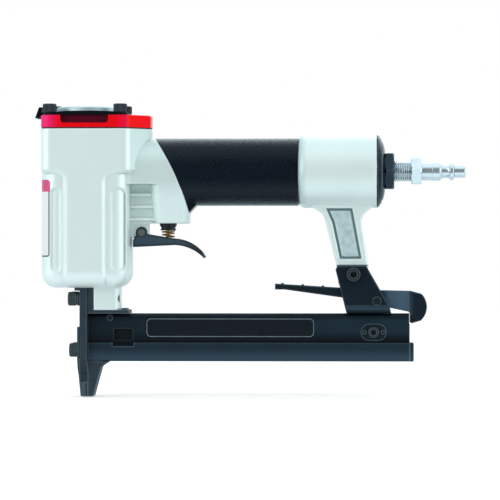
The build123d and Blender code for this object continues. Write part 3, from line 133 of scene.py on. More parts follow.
def finish(name, low, high, patch, rough, grain, depth, lay=(1, 1, 1), ease=0, **fixed):
    """Surface whose tone drifts between two colours, with a grain in gloss and relief.

    Patch and grain are widths in millimetres, rough the two ends of the roughness, and depth the
    grain's relief in millimetres. A lay below 1 along an axis draws the grain out along it. Ease
    rounds the look of edges within a radius in millimetres. Fixed are further inputs of the shader.
    """
    surface = bpy.data.materials.new(name)
    surface.use_nodes = True
    tree = surface.node_tree
    shader = tree.nodes["Principled BSDF"]
    place = place_on(tree)
    drift = add(tree, "ShaderNodeTexNoise", {
        "Vector": place, "Scale": 1 / (patch * MM), "Detail": 4.0, "Roughness": 0.6})
    tone = add(tree, "ShaderNodeMix", {
        0: drift.outputs[0], 6: rgb(low), 7: rgb(high)}, data_type="RGBA")
    fine = add(tree, "ShaderNodeTexNoise", {
        "Vector": vector(tree, "MULTIPLY", place, lay), "Scale": 1 / (grain * MM), "Detail": 3.0})
    gloss = add(tree, "ShaderNodeMapRange", {
        "Value": fine.outputs[0], "From Min": 0.3, "From Max": 0.7,
        "To Min": rough[0], "To Max": rough[1]})
    relief = add(tree, "ShaderNodeBump", {
        "Height": fine.outputs[0], "Distance": depth * MM, "Strength": 1.0})
    if ease:
        eased = add(tree, "ShaderNodeBevel", {"Radius": ease * MM}, samples=6)
        tree.links.new(eased.outputs[0], relief.inputs["Normal"])
    tree.links.new(tone.outputs[2], shader.inputs["Base Color"])
    tree.links.new(gloss.outputs[0], shader.inputs["Roughness"])
    tree.links.new(relief.outputs[0], shader.inputs["Normal"])
    for socket, value in fixed.items():
        shader.inputs[socket.replace("_", " ")].default_value = value
    return surface


def inside(tree, low, high, *shares):
    """Socket that is 1 inside a box given in millimetres and 0 outside it, times any shares."""
    centre = [(a + b) / 2 * MM for a, b in zip(low, high)]
    half = [(b - a) / 2 * MM for a, b in zip(low, high)]
    step = vector(tree, "SUBTRACT", place_on(tree), centre)
    reach = vector(tree, "DIVIDE", vector(tree, "ABSOLUTE", step), half)
    x, y, z = parts_of(tree, reach)
    furthest = worked(tree, "MAXIMUM", worked(tree, "MAXIMUM", x, y), z)
    mask = worked(tree, "LESS_THAN", furthest, 1.0)
    for share in shares:
        mask = worked(tree, "MULTIPLY", mask, share)
    return mask


def fade(tree, axis, start, end, share=1.0):
    """Socket that rises from 0 at a start to a share at an end along an axis, in millimetres."""
    along = parts_of(tree, place_on(tree))["XYZ".index(axis)]
    return add(tree, "ShaderNodeMapRange", {
        "Value": along, "From Min": start * MM, "From Max": end * MM, "To Max": share},
        interpolation_type="SMOOTHSTEP").outputs[0]


def square_to(tree, axis):
    """Socket with how squarely a face looks along an axis, either way, from 0 to 1."""
    normal = add(tree, "ShaderNodeNewGeometry").outputs["True Normal"]
    return worked(tree, "ABSOLUTE", parts_of(tree, normal)["XYZ".index(axis)])


def overlay(surface, mask, colour):
    """Second colour on a surface by a mask."""
    tree = surface.node_tree
    shader = tree.nodes["Principled BSDF"]
    under = shader.inputs["Base Color"].links[0].from_socket
    mixed = add(tree, "ShaderNodeMix", {0: mask, 6: under, 7: rgb(colour)}, data_type="RGBA")
    tree.links.new(mixed.outputs[2], shader.inputs["Base Color"])


def emboss(surface, height, depth):
    """Further relief on a surface from a height, with a depth in millimetres."""
    tree = surface.node_tree
    shader = tree.nodes["Principled BSDF"]
    under = shader.inputs["Normal"].links[0].from_socket
    relief = add(tree, "ShaderNodeBump", {
        "Height": height, "Distance": depth * MM, "Strength": 1.0, "Normal": under})
    tree.links.new(relief.outputs[0], shader.inputs["Normal"])


def painted_corner_light(surface, colour, reach, share, convex=False):
    """Painted shade in the inner corners of a piece, or a painted highlight on its outer edges.

    Reach is the width of the tone in millimetres, and share, a number or a socket, its strength.
    """
    tree = surface.node_tree
    open_sky = add(tree, "ShaderNodeAmbientOcclusion", {
        "Distance": reach * MM}, only_local=True, inside=convex, samples=8)
    tone = add(tree, "ShaderNodeMapRange", {
        "Value": open_sky.outputs["AO"], "From Min": 0.5, "From Max": 0.95,
        "To Min": share, "To Max": 0.0})
    overlay(surface, tone.outputs[0], colour)


def edge_tone(surface, colour, width, share):
    """Second tone along the edges of a piece, within a width in millimetres."""
    tree = surface.node_tree
    flat = add(tree, "ShaderNodeNewGeometry").outputs["Normal"]
    eased = add(tree, "ShaderNodeBevel", {"Radius": width * MM}, samples=6)
    edge = add(tree, "ShaderNodeMapRange", {
        "Value": vector(tree, "DOT_PRODUCT", flat, eased.outputs[0]),
        "From Min": 0.998, "From Max": 0.92, "To Min": 0.0, "To Max": share})
    overlay(surface, edge.outputs[0], colour)


def turning_marks(surface, axis, centre, pitch, depth):
    """Rings of a lathe tool round an axis through a centre, on faces and on barrels alike.

    Centre, pitch and depth are in millimetres.
    """
    tree = surface.node_tree
    step = vector(tree, "SUBTRACT", place_on(tree), [c * MM for c in centre])
    radius = vector(tree, "LENGTH", vector(tree, "MULTIPLY", step, [1 - a for a in axis]))
    along = vector(tree, "DOT_PRODUCT", step, axis)
    rings = add(tree, "ShaderNodeTexNoise", {
        "W": worked(tree, "ADD", radius, along), "Scale": 1 / (pitch * MM), "Detail": 2.0},
        noise_dimensions="1D")
    emboss(surface, rings.outputs[0], depth)


# Pale silver enamel on die-cast aluminium: satin, with fine flake that darkens where it faces a
# dim room and lights up on round edges, and a faint orange peel of about 1 mm.
silver_enamel = finish(
    "silver_enamel", "#D8E9E7", "#DFEFED", patch=26, rough=(0.4, 0.48), grain=1.1, depth=0.006,
    ease=1.8, Metallic=0.34, Coat_Weight=0.15, Coat_Roughness=0.35)
tree = silver_enamel.node_tree

# The pad sunk in the strut was left unblasted, so the rough casting shows through the paint there,
# with a painted highlight on the bevel and painted shade in the groove round it.
casting_grain = 3.5
casting = add(tree, "ShaderNodeTexNoise", {
    "Vector": place_on(tree), "Scale": 1 / (casting_grain * MM), "Detail": 4.0}).outputs[0]
blotch = add(tree, "ShaderNodeMapRange", {
    "Value": casting, "From Min": 0.35, "From Max": 0.65}).outputs[0]
side_share = 0.55
on_side = worked(tree, "GREATER_THAN", square_to(tree, "Y"), side_share)
recess_tone_highlight_shade = {
    part: inside(tree, (136, -half_width, 79), (180, half_width, 118), on_side)
    for part, half_width in (("pad", 8.3), ("bevel", 8.02), ("groove", 6.95))}
overlay(silver_enamel, recess_tone_highlight_shade["pad"], "#C4D9DC")
overlay(silver_enamel, worked(tree, "MULTIPLY", recess_tone_highlight_shade["pad"], blotch), "#ACC5CB")
# Painted highlight on the bevel, painted shade in the groove
overlay(silver_enamel, recess_tone_highlight_shade["bevel"], "#CBE1E5")
overlay(silver_enamel, recess_tone_highlight_shade["groove"], "#6A8387")
emboss(silver_enamel, worked(tree, "MULTIPLY", recess_tone_highlight_shade["pad"], casting), depth=0.35)

# Painted light and shade on the casting: a painted shadow line on the ledge above the bracket,
# painted shade at the root of the neck and on the boss's lip beside the grip, and painted light at
# the foot of the body and in the web's pockets.
strut_ledge_shadow = inside(tree, (140, -9.2, 80.2), (182, 9.2, 81.0))
overlay(silver_enamel, strut_ledge_shadow, "#58716F")
neck_root_shade = inside(tree, (28, -22, 100), (80, 22, 166), fade(tree, "Z", 121, 132, 0.4))
overlay(silver_enamel, neck_root_shade, "#AFC9C7")
body_foot_light = inside(tree, (-30, -24, 66.5), (30, 24, 84), fade(tree, "Z", 82, 69, 0.7))
overlay(silver_enamel, body_foot_light, "#E9F7F6")
boss_lip_shade = inside(tree, (128, -26, 118), (138, 26, 162), fade(tree, "X", 136.5, 131.5, 0.6))
overlay(silver_enamel, boss_lip_shade, "#A3BCBE")
web_pocket_light = inside(tree, (24, -7, 106), (44, 7, 131))
overlay(silver_enamel, web_pocket_light, "#E8F7F4")

# The holes of the upper nose bolts carry painted shade. Inner corners carry painted grey shade,
# apart from those at the foot of the body, and outer edges a painted highlight.
nose_low, nose_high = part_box("upper_nose_bolts")
bolt_head = (nose_high.z - nose_low.z) / 2
bolt_axis = (0, nose_high.y - bolt_head, nose_low.z + bolt_head)
hole_radius = 2.6
from_bolt = vector(tree, "SUBTRACT", vector(tree, "ABSOLUTE", place_on(tree)), bolt_axis)
from_axis = vector(tree, "LENGTH", vector(tree, "MULTIPLY", from_bolt, (0, 1, 1)))
overlay(silver_enamel, worked(tree, "LESS_THAN", from_axis, hole_radius * MM), "#2A3638")
painted_corner_light(silver_enamel, "#869EA1", reach=0.9, share=fade(tree, "Z", 76, 84, 0.35))
painted_corner_light(silver_enamel, "#F3FAFA", reach=1.4, share=0.3, convex=True)

# Gloss red enamel on the cap: saturated and smooth, with a painted pink highlight at its front
# corner and a little at its rear one, painted light as a brighter red on the tail, and painted
# shade inside the exhaust outlets.
red_enamel = finish(
    "red_enamel", "#CC000D", "#DC000F", patch=14, rough=(0.2, 0.28), grain=1.6, depth=0.003,
    Specular_IOR_Level=0.08, Coat_Weight=0.06, Coat_Roughness=0.08, Sheen_Weight=0.03,
    Sheen_Roughness=0.3, Sheen_Tint=rgb("#FF4FB0"))
tree = red_enamel.node_tree
tail_start, tail_end = 26.6, 60
cap_half, cap_foot, cap_top = 24.1, 150, 180
# Painted pink highlight on the front corner, and faintly on the rear one
for inner, outer, share in ((-14, -26, 0.65), (18, 26, 0.15)):
    pink_corner_highlight = inside(
        tree, (-tail_start, -cap_half, cap_foot), (tail_start, cap_half, cap_top),
        fade(tree, "X", inner, outer, share))
    overlay(red_enamel, pink_corner_highlight, "#EA2C8A")
# Painted light: a brighter red on the tail
lit_cap_tail = inside(tree, (tail_start, -cap_half, cap_foot), (tail_end, cap_half, cap_top))
overlay(red_enamel, lit_cap_tail, "#F0000A")
# Painted shade inside the exhaust outlets
outlet_shade = inside(tree, (-14.8, -23.9, 167.6), (14.8, 23.9, cap_top))
overlay(red_enamel, outlet_shade, "#640A25")

# Satin black stoving enamel on folded sheet: blue-black, soft broad highlights, drawn out a
# little along the fold, with painted highlights on its edges, in the hollow of the latch lever
# and along the bracket's folds.
black_enamel = finish(
    "black_enamel", "#081620", "#0E1F29", patch=18, rough=(0.3, 0.4), grain=0.6, depth=0.005,
    lay=(0.25, 1, 1), Specular_IOR_Level=0.2)
painted_corner_light(black_enamel, "#6F8692", reach=0.7, share=0.8, convex=True)
tree = black_enamel.node_tree
latch_hollow_highlight = inside(
    tree, (178, -9, 50), (203, 9, 66), fade(tree, "X", 180, 187), fade(tree, "X", 202, 196))
overlay(black_enamel, latch_hollow_highlight, "#3A5364")
bracket_side, bracket_sheet = 10.8, 1.2
for y in (-bracket_side, bracket_side):
    fold_highlight = inside(
        tree, (150, y - bracket_sheet / 2, 53.3), (192, y + bracket_sheet / 2, 56.2))
    overlay(black_enamel, fold_highlight, "#233846")

# The same enamel on the fixed rail, sprayed thinner and a shade paler, with painted shade on its
# lower half, a painted shadow along its top, painted shade near the nose, a painted contact
# shadow in the joint with the sliding rail, and painted highlights on its edges.
rail_enamel = finish(
    "rail_enamel", "#0D1F2A", "#162C3A", patch=22, rough=(0.28, 0.38), grain=0.6, depth=0.005,
    lay=(0.25, 1, 1), Specular_IOR_Level=0.2)
tree = rail_enamel.node_tree
overlay(rail_enamel, fade(tree, "Z", 41, 35), "#020F19")
overlay(rail_enamel, fade(tree, "Z", 46, 50, 0.8), "#010A11")
overlay(rail_enamel, fade(tree, "X", 60, 20, 0.6), "#050F17")
painted_corner_light(rail_enamel, "#4F6572", reach=0.7, share=0.35, convex=True)
rail_joint_shadow = inside(tree, (-20, -20, 32), (240, 20, 34.3))
overlay(rail_enamel, rail_joint_shadow, "#000306")

# The sliding rail's enamel, paler towards its lower edge by a painted floor reflection, with
# painted highlights on its edges.
slide_enamel = finish(
    "slide_enamel", "#10212B", "#192E3A", patch=22, rough=(0.28, 0.38), grain=0.6, depth=0.005,
    lay=(0.25, 1, 1), Specular_IOR_Level=0.2)
overlay(slide_enamel, fade(slide_enamel.node_tree, "Z", 30, 24), "#273C4B")
painted_corner_light(slide_enamel, "#5A7280", reach=0.7, share=0.7, convex=True)

# Phosphated tool steel of the nose: slate grey with cloudy patches, matt, with painted highlights
# on its edges and bare steel showing through on the rubbed foot of the tip.
phosphated_steel = finish(
    "phosphated_steel", "#172530", "#243743", patch=6, rough=(0.42, 0.58), grain=0.5, depth=0.01,
    Specular_IOR_Level=0.35)
painted_corner_light(phosphated_steel, "#66787F", reach=0.7, share=0.6, convex=True)
tip_foot = inside(phosphated_steel.node_tree, (-4.6, -9, -1), (-0.8, 9, 8.3))
overlay(phosphated_steel, tip_foot, "#3A4C56")

# Black oxide on bolts: almost black with a thin oil gloss and painted highlights on its edges.
black_oxide = finish(
    "black_oxide", "#0A1319", "#15222A", patch=3, rough=(0.3, 0.45), grain=0.4, depth=0.006,
    Specular_IOR_Level=0.22)
painted_corner_light(black_oxide, "#6F828B", reach=0.5, share=0.6, convex=True)

# The same oxide on the screw heads: painted highlights on the edges, painted shade in the sockets.
oxide_light_and_shade = finish(
    "oxide_light_and_shade", "#121D24", "#1E2C35", patch=2, rough=(0.3, 0.45), grain=0.4, depth=0.006,
    Specular_IOR_Level=0.25)
painted_corner_light(oxide_light_and_shade, "#8497A0", reach=0.6, share=0.7, convex=True)
painted_corner_light(oxide_light_and_shade, "#000304", reach=2.4, share=1.0)

# Blued hexagon of the air inlet: a shade bluer and paler than the bolts, with painted highlights
# on its edges.
blued_bushing = finish(
    "blued_bushing", "#172A37", "#23394A", patch=5, rough=(0.3, 0.42), grain=0.5, depth=0.006,
    Specular_IOR_Level=0.25)
painted_corner_light(blued_bushing, "#6F8793", reach=0.6, share=0.6, convex=True)

# Stoved black on the deflector plate: dead black, faintly satin.
stove_black = finish(
    "stove_black", "#050C10", "#0A1418", patch=6, rough=(0.4, 0.55), grain=0.5, depth=0.006,
    Specular_IOR_Level=0.05)

# Blued sheet of the trigger: steel blue, smooth, semi-gloss, with painted shade along its rims
# and towards its tip.
blued_steel = finish(
    "blued_steel", "#2A3B48", "#3A505F", patch=9, rough=(0.3, 0.4), grain=0.5, depth=0.005,
    Specular_IOR_Level=0.3)
overlay(blued_steel, fade(blued_steel.node_tree, "Z", 96, 90, 0.6), "#131F27")
edge_tone(blued_steel, "#0A1218", width=2.0, share=0.95)

# Drawn steel of the trigger pin: speckled grey, with the ring of a burr round the end.
pin_steel = finish(
    "pin_steel", "#41484A", "#70787A", patch=0.9, rough=(0.3, 0.45), grain=0.4, depth=0.008,
    Metallic=0.3)
edge_tone(pin_steel, "#14181A", width=1.2, share=0.9)

# Bright rolled steel of the dome: satin, with a cloudy rolled haze and painted shade on its rim.
bright_steel = finish(
    "bright_steel", "#BCCACE", "#D6E0E3", patch=5, rough=(0.5, 0.6), grain=0.7, depth=0.003,
    Metallic=1.0)
tree = bright_steel.node_tree
rim_share = 0.3
rim_height = 1.4
on_rim = worked(tree, "LESS_THAN", square_to(tree, "Z"), rim_share)
sheet_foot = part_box("deflector_dome")[0].z / MM
sheet_rim_shade = inside(tree, (-40, -40, sheet_foot - 0.1), (40, 40, sheet_foot + rim_height), on_rim)
overlay(bright_steel, sheet_rim_shade, "#18242A")

# Bright zinc on the air plug: blue-white mirror, slightly hazy, with fine rings of the lathe and
# painted shade in its corners.
bright_zinc = finish(
    "bright_zinc", "#DCE7EC", "#EEF4F6", patch=4, rough=(0.12, 0.2), grain=0.5, depth=0.002,
    Metallic=0.85)
turning_marks(bright_zinc, axis=(1, 0, 0), centre=(0, 0, handle_height), pitch=0.5, depth=0.006)
painted_corner_light(bright_zinc, "#33424A", reach=0.6, share=0.7)

# Copper-washed spring wire: warm, drawn, half bright.
copper_wire = finish(
    "copper_wire", "#8E6648", "#B38A66", patch=2, rough=(0.22, 0.36), grain=0.3, depth=0.004,
    Metallic=1.0)

# Turned brass of the valve stem: yellow, bright, ringed by the lathe.
turned_brass = finish(
    "turned_brass", "#9A7A48", "#BC9A62", patch=2, rough=(0.2, 0.32), grain=0.3, depth=0.004,
    Metallic=1.0)
valve_axis = 49.9
turning_marks(turned_brass, axis=(0, 0, 1), centre=(valve_axis, 0, 0), pitch=0.5, depth=0.005)

# Moulded nitrile rubber of the grip: blue-black, with a pebbled leather grain and a pale sheen
# along its outline. The pebbles of about 0.4 mm are drawn at 0.9 mm, as finer ones would not show.
grip_rubber = finish(
    "grip_rubber", "#020B15", "#05131F", patch=12, rough=(0.2, 0.3), grain=0.9, depth=0.01,
    Specular_IOR_Level=0.2, Sheen_Weight=1.0, Sheen_Roughness=0.25, Sheen_Tint=rgb("#C4E6EC"))
tree = grip_rubber.node_tree
pebble_size = 0.9
pebbles = add(tree, "ShaderNodeTexVoronoi", {
    "Vector": place_on(tree), "Scale": 1 / (pebble_size * MM), "Smoothness": 0.6},
    feature="SMOOTH_F1")
emboss(grip_rubber, worked(tree, "SUBTRACT", 1.0, pebbles.outputs["Distance"]), depth=0.24)

# Machined black end cap: deep gloss, with rings of the lathe on its face, and painted highlights
# on its edges and in its corners.
gloss_black = finish(
    "gloss_black", "#07151D", "#0D1F29", patch=10, rough=(0.1, 0.16), grain=0.8, depth=0.002,
    Specular_IOR_Level=0.1)
turning_marks(gloss_black, axis=(1, 0, 0), centre=(0, 0, handle_height), pitch=0.9, depth=0.02)
painted_corner_light(gloss_black, "#9FB6C4", reach=0.5, share=0.6, convex=True)
painted_corner_light(gloss_black, "#8FA7B4", reach=0.7, share=0.9)

# Moulded black nylon of the valve bushing: dull, faintly speckled.
moulded_nylon = finish(
    "moulded_nylon", "#10181E", "#1B252C", patch=2, rough=(0.4, 0.55), grain=0.4, depth=0.01,
    Specular_IOR_Level=0.35)

# Fibre gasket and seals: dull black.
seal_fibre = finish(
    "seal_fibre", "#15191C", "#23292D", patch=3, rough=(0.6, 0.8), grain=0.4, depth=0.02)

# Ground and hardened steel of the drive: grey, with fine scratches up and down.
ground_steel = finish(
    "ground_steel", "#7E8588", "#A3A9AB", patch=3, rough=(0.25, 0.4), grain=0.4, depth=0.005,
    lay=(1, 1, 0.05), Metallic=1.0)

# Oiled steel of the magazine's inner pieces: almost black with a film of oil.
oiled_steel = finish(
    "oiled_steel", "#080D10", "#11181B", patch=4, rough=(0.3, 0.45), grain=0.5, depth=0.005,
    lay=(0.2, 1, 1), Specular_IOR_Level=0.15)

# Dull zinc on the small screws of the nose flange: dark grey with a blue cast.
dull_zinc = finish(
    "dull_zinc", "#39464D", "#4C5A62", patch=2, rough=(0.35, 0.5), grain=0.4, depth=0.006,
    Metallic=0.5)

# Turned aluminium of piston and head valve: light grey, ringed by the lathe.
turned_alloy = finish(
    "turned_alloy", "#B2B8BA", "#CDD2D3", patch=6, rough=(0.28, 0.42), grain=0.5, depth=0.003,
    Metallic=1.0)
turning_marks(turned_alloy, axis=(0, 0, 1), centre=(0, 0, 0), pitch=0.6, depth=0.008)

# Bare spring steel: dark grey wire.
spring_wire = finish(
    "spring_wire", "#5B6165", "#7C8387", patch=2, rough=(0.25, 0.4), grain=0.3, depth=0.004,
    Metallic=1.0)

# Printed vinyl films: a blank white sticker with a red head, paled to pink by a painted
# reflection, and a dark line round its edge on the body, and a blank gloss black label with a
# thin pale border on the magazine.
sticker_white = finish(
    "sticker_white_vinyl", "#D2DADE", "#DCE3E6", patch=9, rough=(0.3, 0.4), grain=1.5, depth=0.006)
# Red print, paled to pink by a painted reflection
sticker_red = finish(
    "sticker_red_vinyl", "#C03C70", "#CC467B", patch=9, rough=(0.3, 0.4), grain=1.5, depth=0.006)
dark_edge_line = finish(
    "sticker_dark_edge_line", "#3A474B", "#465458", patch=5, rough=(0.3, 0.4), grain=1.5, depth=0.006)
label_black = finish(
    "label_black_vinyl", "#0B1218", "#101920", patch=9, rough=(0.14, 0.22), grain=2.5, depth=0.02,
    Specular_IOR_Level=0.4)
label_ink = finish(
    "label_border_ink", "#4E5C64", "#7D8B92", patch=7, rough=(0.2, 0.3), grain=2.5, depth=0.02)

node_finish = {
    silver_enamel: ["housing"],
    red_enamel: ["cylinder_cap"],
    seal_fibre: [
        "cap_gasket", "end_cap_seal", "head_valve_seal", "piston_ring", "piston_bumper"],
    black_enamel: ["rear_bracket", "latch_lever", "rail_pads"],
    rail_enamel: ["fixed_rail"],
    slide_enamel: ["sliding_rail", "slide_end_cap"],
    phosphated_steel: ["nose_guide", "nose_cover", "nose_bracket", "nose_heel"],
    black_oxide: ["bracket_nut", "rail_rivets", "nose_washers", "latch_pin"],
    blued_bushing: ["inlet_bushing"],
    stove_black: ["deflector_base"],
    blued_steel: ["trigger"],
    pin_steel: ["trigger_pin"],
    moulded_nylon: ["valve_bushing"],
    bright_steel: ["deflector_dome"],
    dull_zinc: ["flange_screws"],
    oiled_steel: ["staple_core", "pusher", "guide_rod"],
    turned_brass: ["valve_stem"],
    grip_rubber: ["grip_sleeve"],
    gloss_black: ["end_cap"],
    ground_steel: ["cylinder_liner", "driver_blade", "driver_pin"],
    turned_alloy: ["drive_piston", "head_valve"],
}
for surface, dressed in node_finish.items():
    for name in dressed:
        for slot in nodes[name].material_slots:
            slot.material = surface


# Coils and rows of screws, grown by node trees

def coil_tree():
    """Wire wound on a helix along Z, closed up towards both ends."""
    tree = bpy.data.node_groups.new("wound_coil", "GeometryNodeTree")
    for name, kind in (
            ("Radius", "NodeSocketFloat"), ("Wire", "NodeSocketFloat"),
            ("Height", "NodeSocketFloat"), ("Turns", "NodeSocketFloat"),
            ("Sides", "NodeSocketInt"), ("Closed Ends", "NodeSocketFloat"),
            ("Finish", "NodeSocketMaterial")):
        tree.interface.new_socket(name, in_out="INPUT", socket_type=kind)
    tree.interface.new_socket("Geometry", in_out="OUTPUT", socket_type="NodeSocketGeometry")
    size = add(tree, "NodeGroupInput").outputs
    spiral = add(tree, "GeometryNodeCurveSpiral", {
        "Resolution": 36, "Rotations": size["Turns"], "Start Radius": size["Radius"],
        "End Radius": size["Radius"], "Height": size["Height"]})
    run = add(tree, "GeometryNodeSplineParameter").outputs["Factor"]
    eased = add(tree, "ShaderNodeMapRange", {"Value": run}, interpolation_type="SMOOTHSTEP")
    share = add(tree, "ShaderNodeMix", {
        0: size["Closed Ends"], 2: run, 3: eased.outputs[0]}, data_type="FLOAT")
    lift = worked(tree, "MULTIPLY", share.outputs[0], size["Height"])
    at = parts_of(tree, add(tree, "GeometryNodeInputPosition").outputs[0])
    spot = add(tree, "ShaderNodeCombineXYZ", {0: at[0], 1: at[1], 2: lift})
    wound = add(tree, "GeometryNodeSetPosition", {
        "Geometry": spiral.outputs[0], "Position": spot.outputs[0]})
    section = add(tree, "GeometryNodeCurvePrimitiveCircle", {
        "Resolution": size["Sides"], "Radius": size["Wire"]})
    wire = add(tree, "GeometryNodeCurveToMesh", {
        "Curve": wound.outputs[0], "Profile Curve": section.outputs[0], "Fill Caps": True})
    dressed = add(tree, "GeometryNodeSetMaterial", {
        0: wire.outputs[0], "Material": size["Finish"]})
    add(tree, "NodeGroupOutput", {0: dressed.outputs[0]})
    return tree


def screw_tree():
    """One screw repeated over a grid, each turned about Z by a step more than the last."""
    tree = bpy.data.node_groups.new("screw_pattern", "GeometryNodeTree")
    for name, kind in (
            ("Screw", "NodeSocketGeometry"), ("Count X", "NodeSocketInt"),
            ("Count Y", "NodeSocketInt"), ("Spread X", "NodeSocketFloat"),
            ("Spread Y", "NodeSocketFloat"), ("Turn", "NodeSocketFloat"),
            ("Finish", "NodeSocketMaterial")):
        tree.interface.new_socket(name, in_out="INPUT", socket_type=kind)
    tree.interface.new_socket("Geometry", in_out="OUTPUT", socket_type="NodeSocketGeometry")
    size = add(tree, "NodeGroupInput").outputs
    grid = add(tree, "GeometryNodeMeshGrid", {
        "Size X": size["Spread X"], "Size Y": size["Spread Y"],
        "Vertices X": size["Count X"], "Vertices Y": size["Count Y"]})
    count = add(tree, "GeometryNodeInputIndex").outputs[0]
    turn = add(tree, "ShaderNodeCombineXYZ", {2: worked(tree, "MULTIPLY", count, size["Turn"])})
    placed = add(tree, "GeometryNodeInstanceOnPoints", {
        "Points": grid.outputs[0], "Instance": size["Screw"], "Rotation": turn.outputs[0]})
    whole = add(tree, "GeometryNodeRealizeInstances", {0: placed.outputs[0]})
    dressed = add(tree, "GeometryNodeSetMaterial", {
        0: whole.outputs[0], "Material": size["Finish"]})
    add(tree, "NodeGroupOutput", {0: dressed.outputs[0]})
    return tree


def grown(tree, sizes, seed=None):
    """Plain mesh that a tree gives for one set of sizes."""
    carrier = bpy.data.objects.new("carrier", seed or bpy.data.meshes.new("carrier"))
    modifier = carrier.modifiers.new("shape", "NODES")
    modifier.node_group = tree
    for socket in tree.interface.items_tree:
        if socket.in_out == "INPUT" and socket.name in sizes:
            modifier[socket.identifier] = sizes[socket.name]
    scene.collection.objects.link(carrier)
    whole = carrier.evaluated_get(bpy.context.evaluated_depsgraph_get())
    mesh = bpy.data.meshes.new_from_object(whole)
    bpy.data.objects.remove(carrier)
    return mesh


def smooth(mesh, angle=35):
    """Mesh shaded smooth, with edges sharper than an angle kept."""
    mesh.shade_smooth()
    mesh.set_sharp_from_angle(angle=math.radians(angle))
    return mesh


along_x = Matrix.Rotation(math.radians(90), 4, "Y")
facing_front = Matrix.Rotation(math.radians(-90), 4, "Y")
facing_near = Matrix.Rotation(math.radians(90), 4, "X")
wound_coil = coil_tree()


def coil(node, name, body, surface, radius, wire, turns, lay, squash):
    """Coil spring in the place of a node.

    Squash gives the joint, the end that stays, and the travel; it is not used.
    """
    low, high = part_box(node)
    axis = 0 if lay == "X" else 2
    height = high[axis] - low[axis] - 2 * wire
    mesh = grown(wound_coil, {
        "Radius": radius, "Wire": wire, "Height": height, "Turns": turns, "Sides": 10,
        "Closed Ends": 0.6, "Finish": surface})
    foot = middle(node)
    foot[axis] = low[axis] + wire
    mesh.transform(Matrix.Translation(foot) @ (along_x if lay == "X" else Matrix.Identity(4)))
    piece = shown(name, smooth(mesh), body, [node])
    joint, end, travel = squash
    anchor = middle(node)
    anchor[axis] = high[axis] if end == "high" else low[axis]
    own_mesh(piece)


coil(
    "trigger_spring", "trigger_coil", "tool", copper_wire, radius=3.75 * MM,
    wire=0.4 * MM, turns=4.0, lay="Z", squash=("trigger_pull", "high", 3.3 * MM))
coil(
    "head_valve_spring", "head_valve_coil", "tool", spring_wire, radius=15 * MM,
    wire=0.9 * MM, turns=4.0, lay="Z", squash=("head_valve_lift", "high", 3.5 * MM))
coil(
    "latch_spring", "latch_coil", "tool", spring_wire, radius=2.6 * MM,
    wire=0.4 * MM, turns=3.5, lay="Z", squash=("latch_press", "low", 3.05 * MM))
coil(
    "pusher_spring", "pusher_coil", "magazine", spring_wire, radius=2.5 * MM,
    wire=0.45 * MM, turns=44.0, lay="X", squash=("pusher_feed", "high", 100 * MM))


# Turned pieces and screws

def turned(name, rows, sides, ring=False):
    """Mesh turned about Z from rows of height and radius, in millimetres.

    A radius may be a number or a function of the angle; a radius of 0 closes an end.
    """
    mesh = bmesh.new()
    loops = []
    for height, radius in rows:
        if radius == 0:
            loops.append([mesh.verts.new((0, 0, height * MM))])
            continue
        loop = []
        for i in range(sides):
            angle = 2 * math.pi * i / sides
            r = (radius(angle) if callable(radius) else radius) * MM
            loop.append(mesh.verts.new((r * math.cos(angle), r * math.sin(angle), height * MM)))
        loops.append(loop)
    pairs = list(zip(loops, loops[1:])) + ([(loops[-1], loops[0])] if ring else [])
    for low, high in pairs:
        for i in range(sides):
            j = (i + 1) % sides
            corners = [
                low[i % len(low)], low[j % len(low)], high[j % len(high)], high[i % len(high)]]
            mesh.faces.new(list(dict.fromkeys(corners)))
    bmesh.ops.recalc_face_normals(mesh, faces=mesh.faces)
    made = bpy.data.meshes.new(name)
    mesh.to_mesh(made)
    mesh.free()
    return made


def hexagon(flats):
    """Radius of a hexagon at an angle, flats upward."""
    sixth = math.pi / 3
    return lambda angle: flats / 2 / math.cos((angle + sixth / 2) % sixth - sixth / 2)


def knurl(radius, depth, sides):
    """Radius of a straight knurl, one ridge for every two corners."""
    step = 2 * math.pi / sides
    return lambda angle: radius - depth * (round(angle / step) % 2)


def socket_screw(head_radius, head_height, flats, socket_depth, shank_radius, shank_length):
    """Knurled socket head screw along Z with its seat at zero, in millimetres."""
    sides = 72
    top = head_height
    smooth_radius = head_radius - 0.1
    ridges = knurl(head_radius, 0.2, sides)
    socket = hexagon(flats)
    socket_chamfer = 0.2
    drill_point = 0.4
    return turned("socket_screw", [
        (-shank_length, 0), (-shank_length, shank_radius), (0, shank_radius),
        (0, head_radius - 0.35), (0.3, smooth_radius), (0.45, ridges), (top - 0.75, ridges),
        (top - 0.6, smooth_radius), (top - 0.35, head_radius - 0.12), (top, head_radius - 0.5),
        (top, lambda angle: socket(angle) + socket_chamfer), (top - socket_chamfer, socket),
        (top - socket_depth, socket), (top - socket_depth - drill_point, 0)], sides)


screw_pattern = screw_tree()

# Standard sizes of M5 socket head screws, in millimetres: the head and the shank are radii
m5_head = 4.25
m5_height = 5.0
m5_flats = 4.0
m5_socket_depth = 2.6
m5_shank = 2.5


def m5_screw(length):
    """M5 socket head screw with a shank of a length in millimetres."""
    return socket_screw(m5_head, m5_height, m5_flats, m5_socket_depth, m5_shank, length)


def screws(node, name, body, surface, screw, facing, seat, spread, turn=0.0):
    """Screws in the place of a node, two along each way that has a spread."""
    screw.transform(facing)
    mesh = grown(screw_pattern, {
        "Count X": 2 if spread[0] else 1, "Count Y": 2 if spread[1] else 1,
        "Spread X": spread[0], "Spread Y": spread[1], "Turn": turn, "Finish": surface}, screw)
    mesh.transform(Matrix.Translation(seat))
    return shown(name, smooth(mesh, angle=25), body, [node])


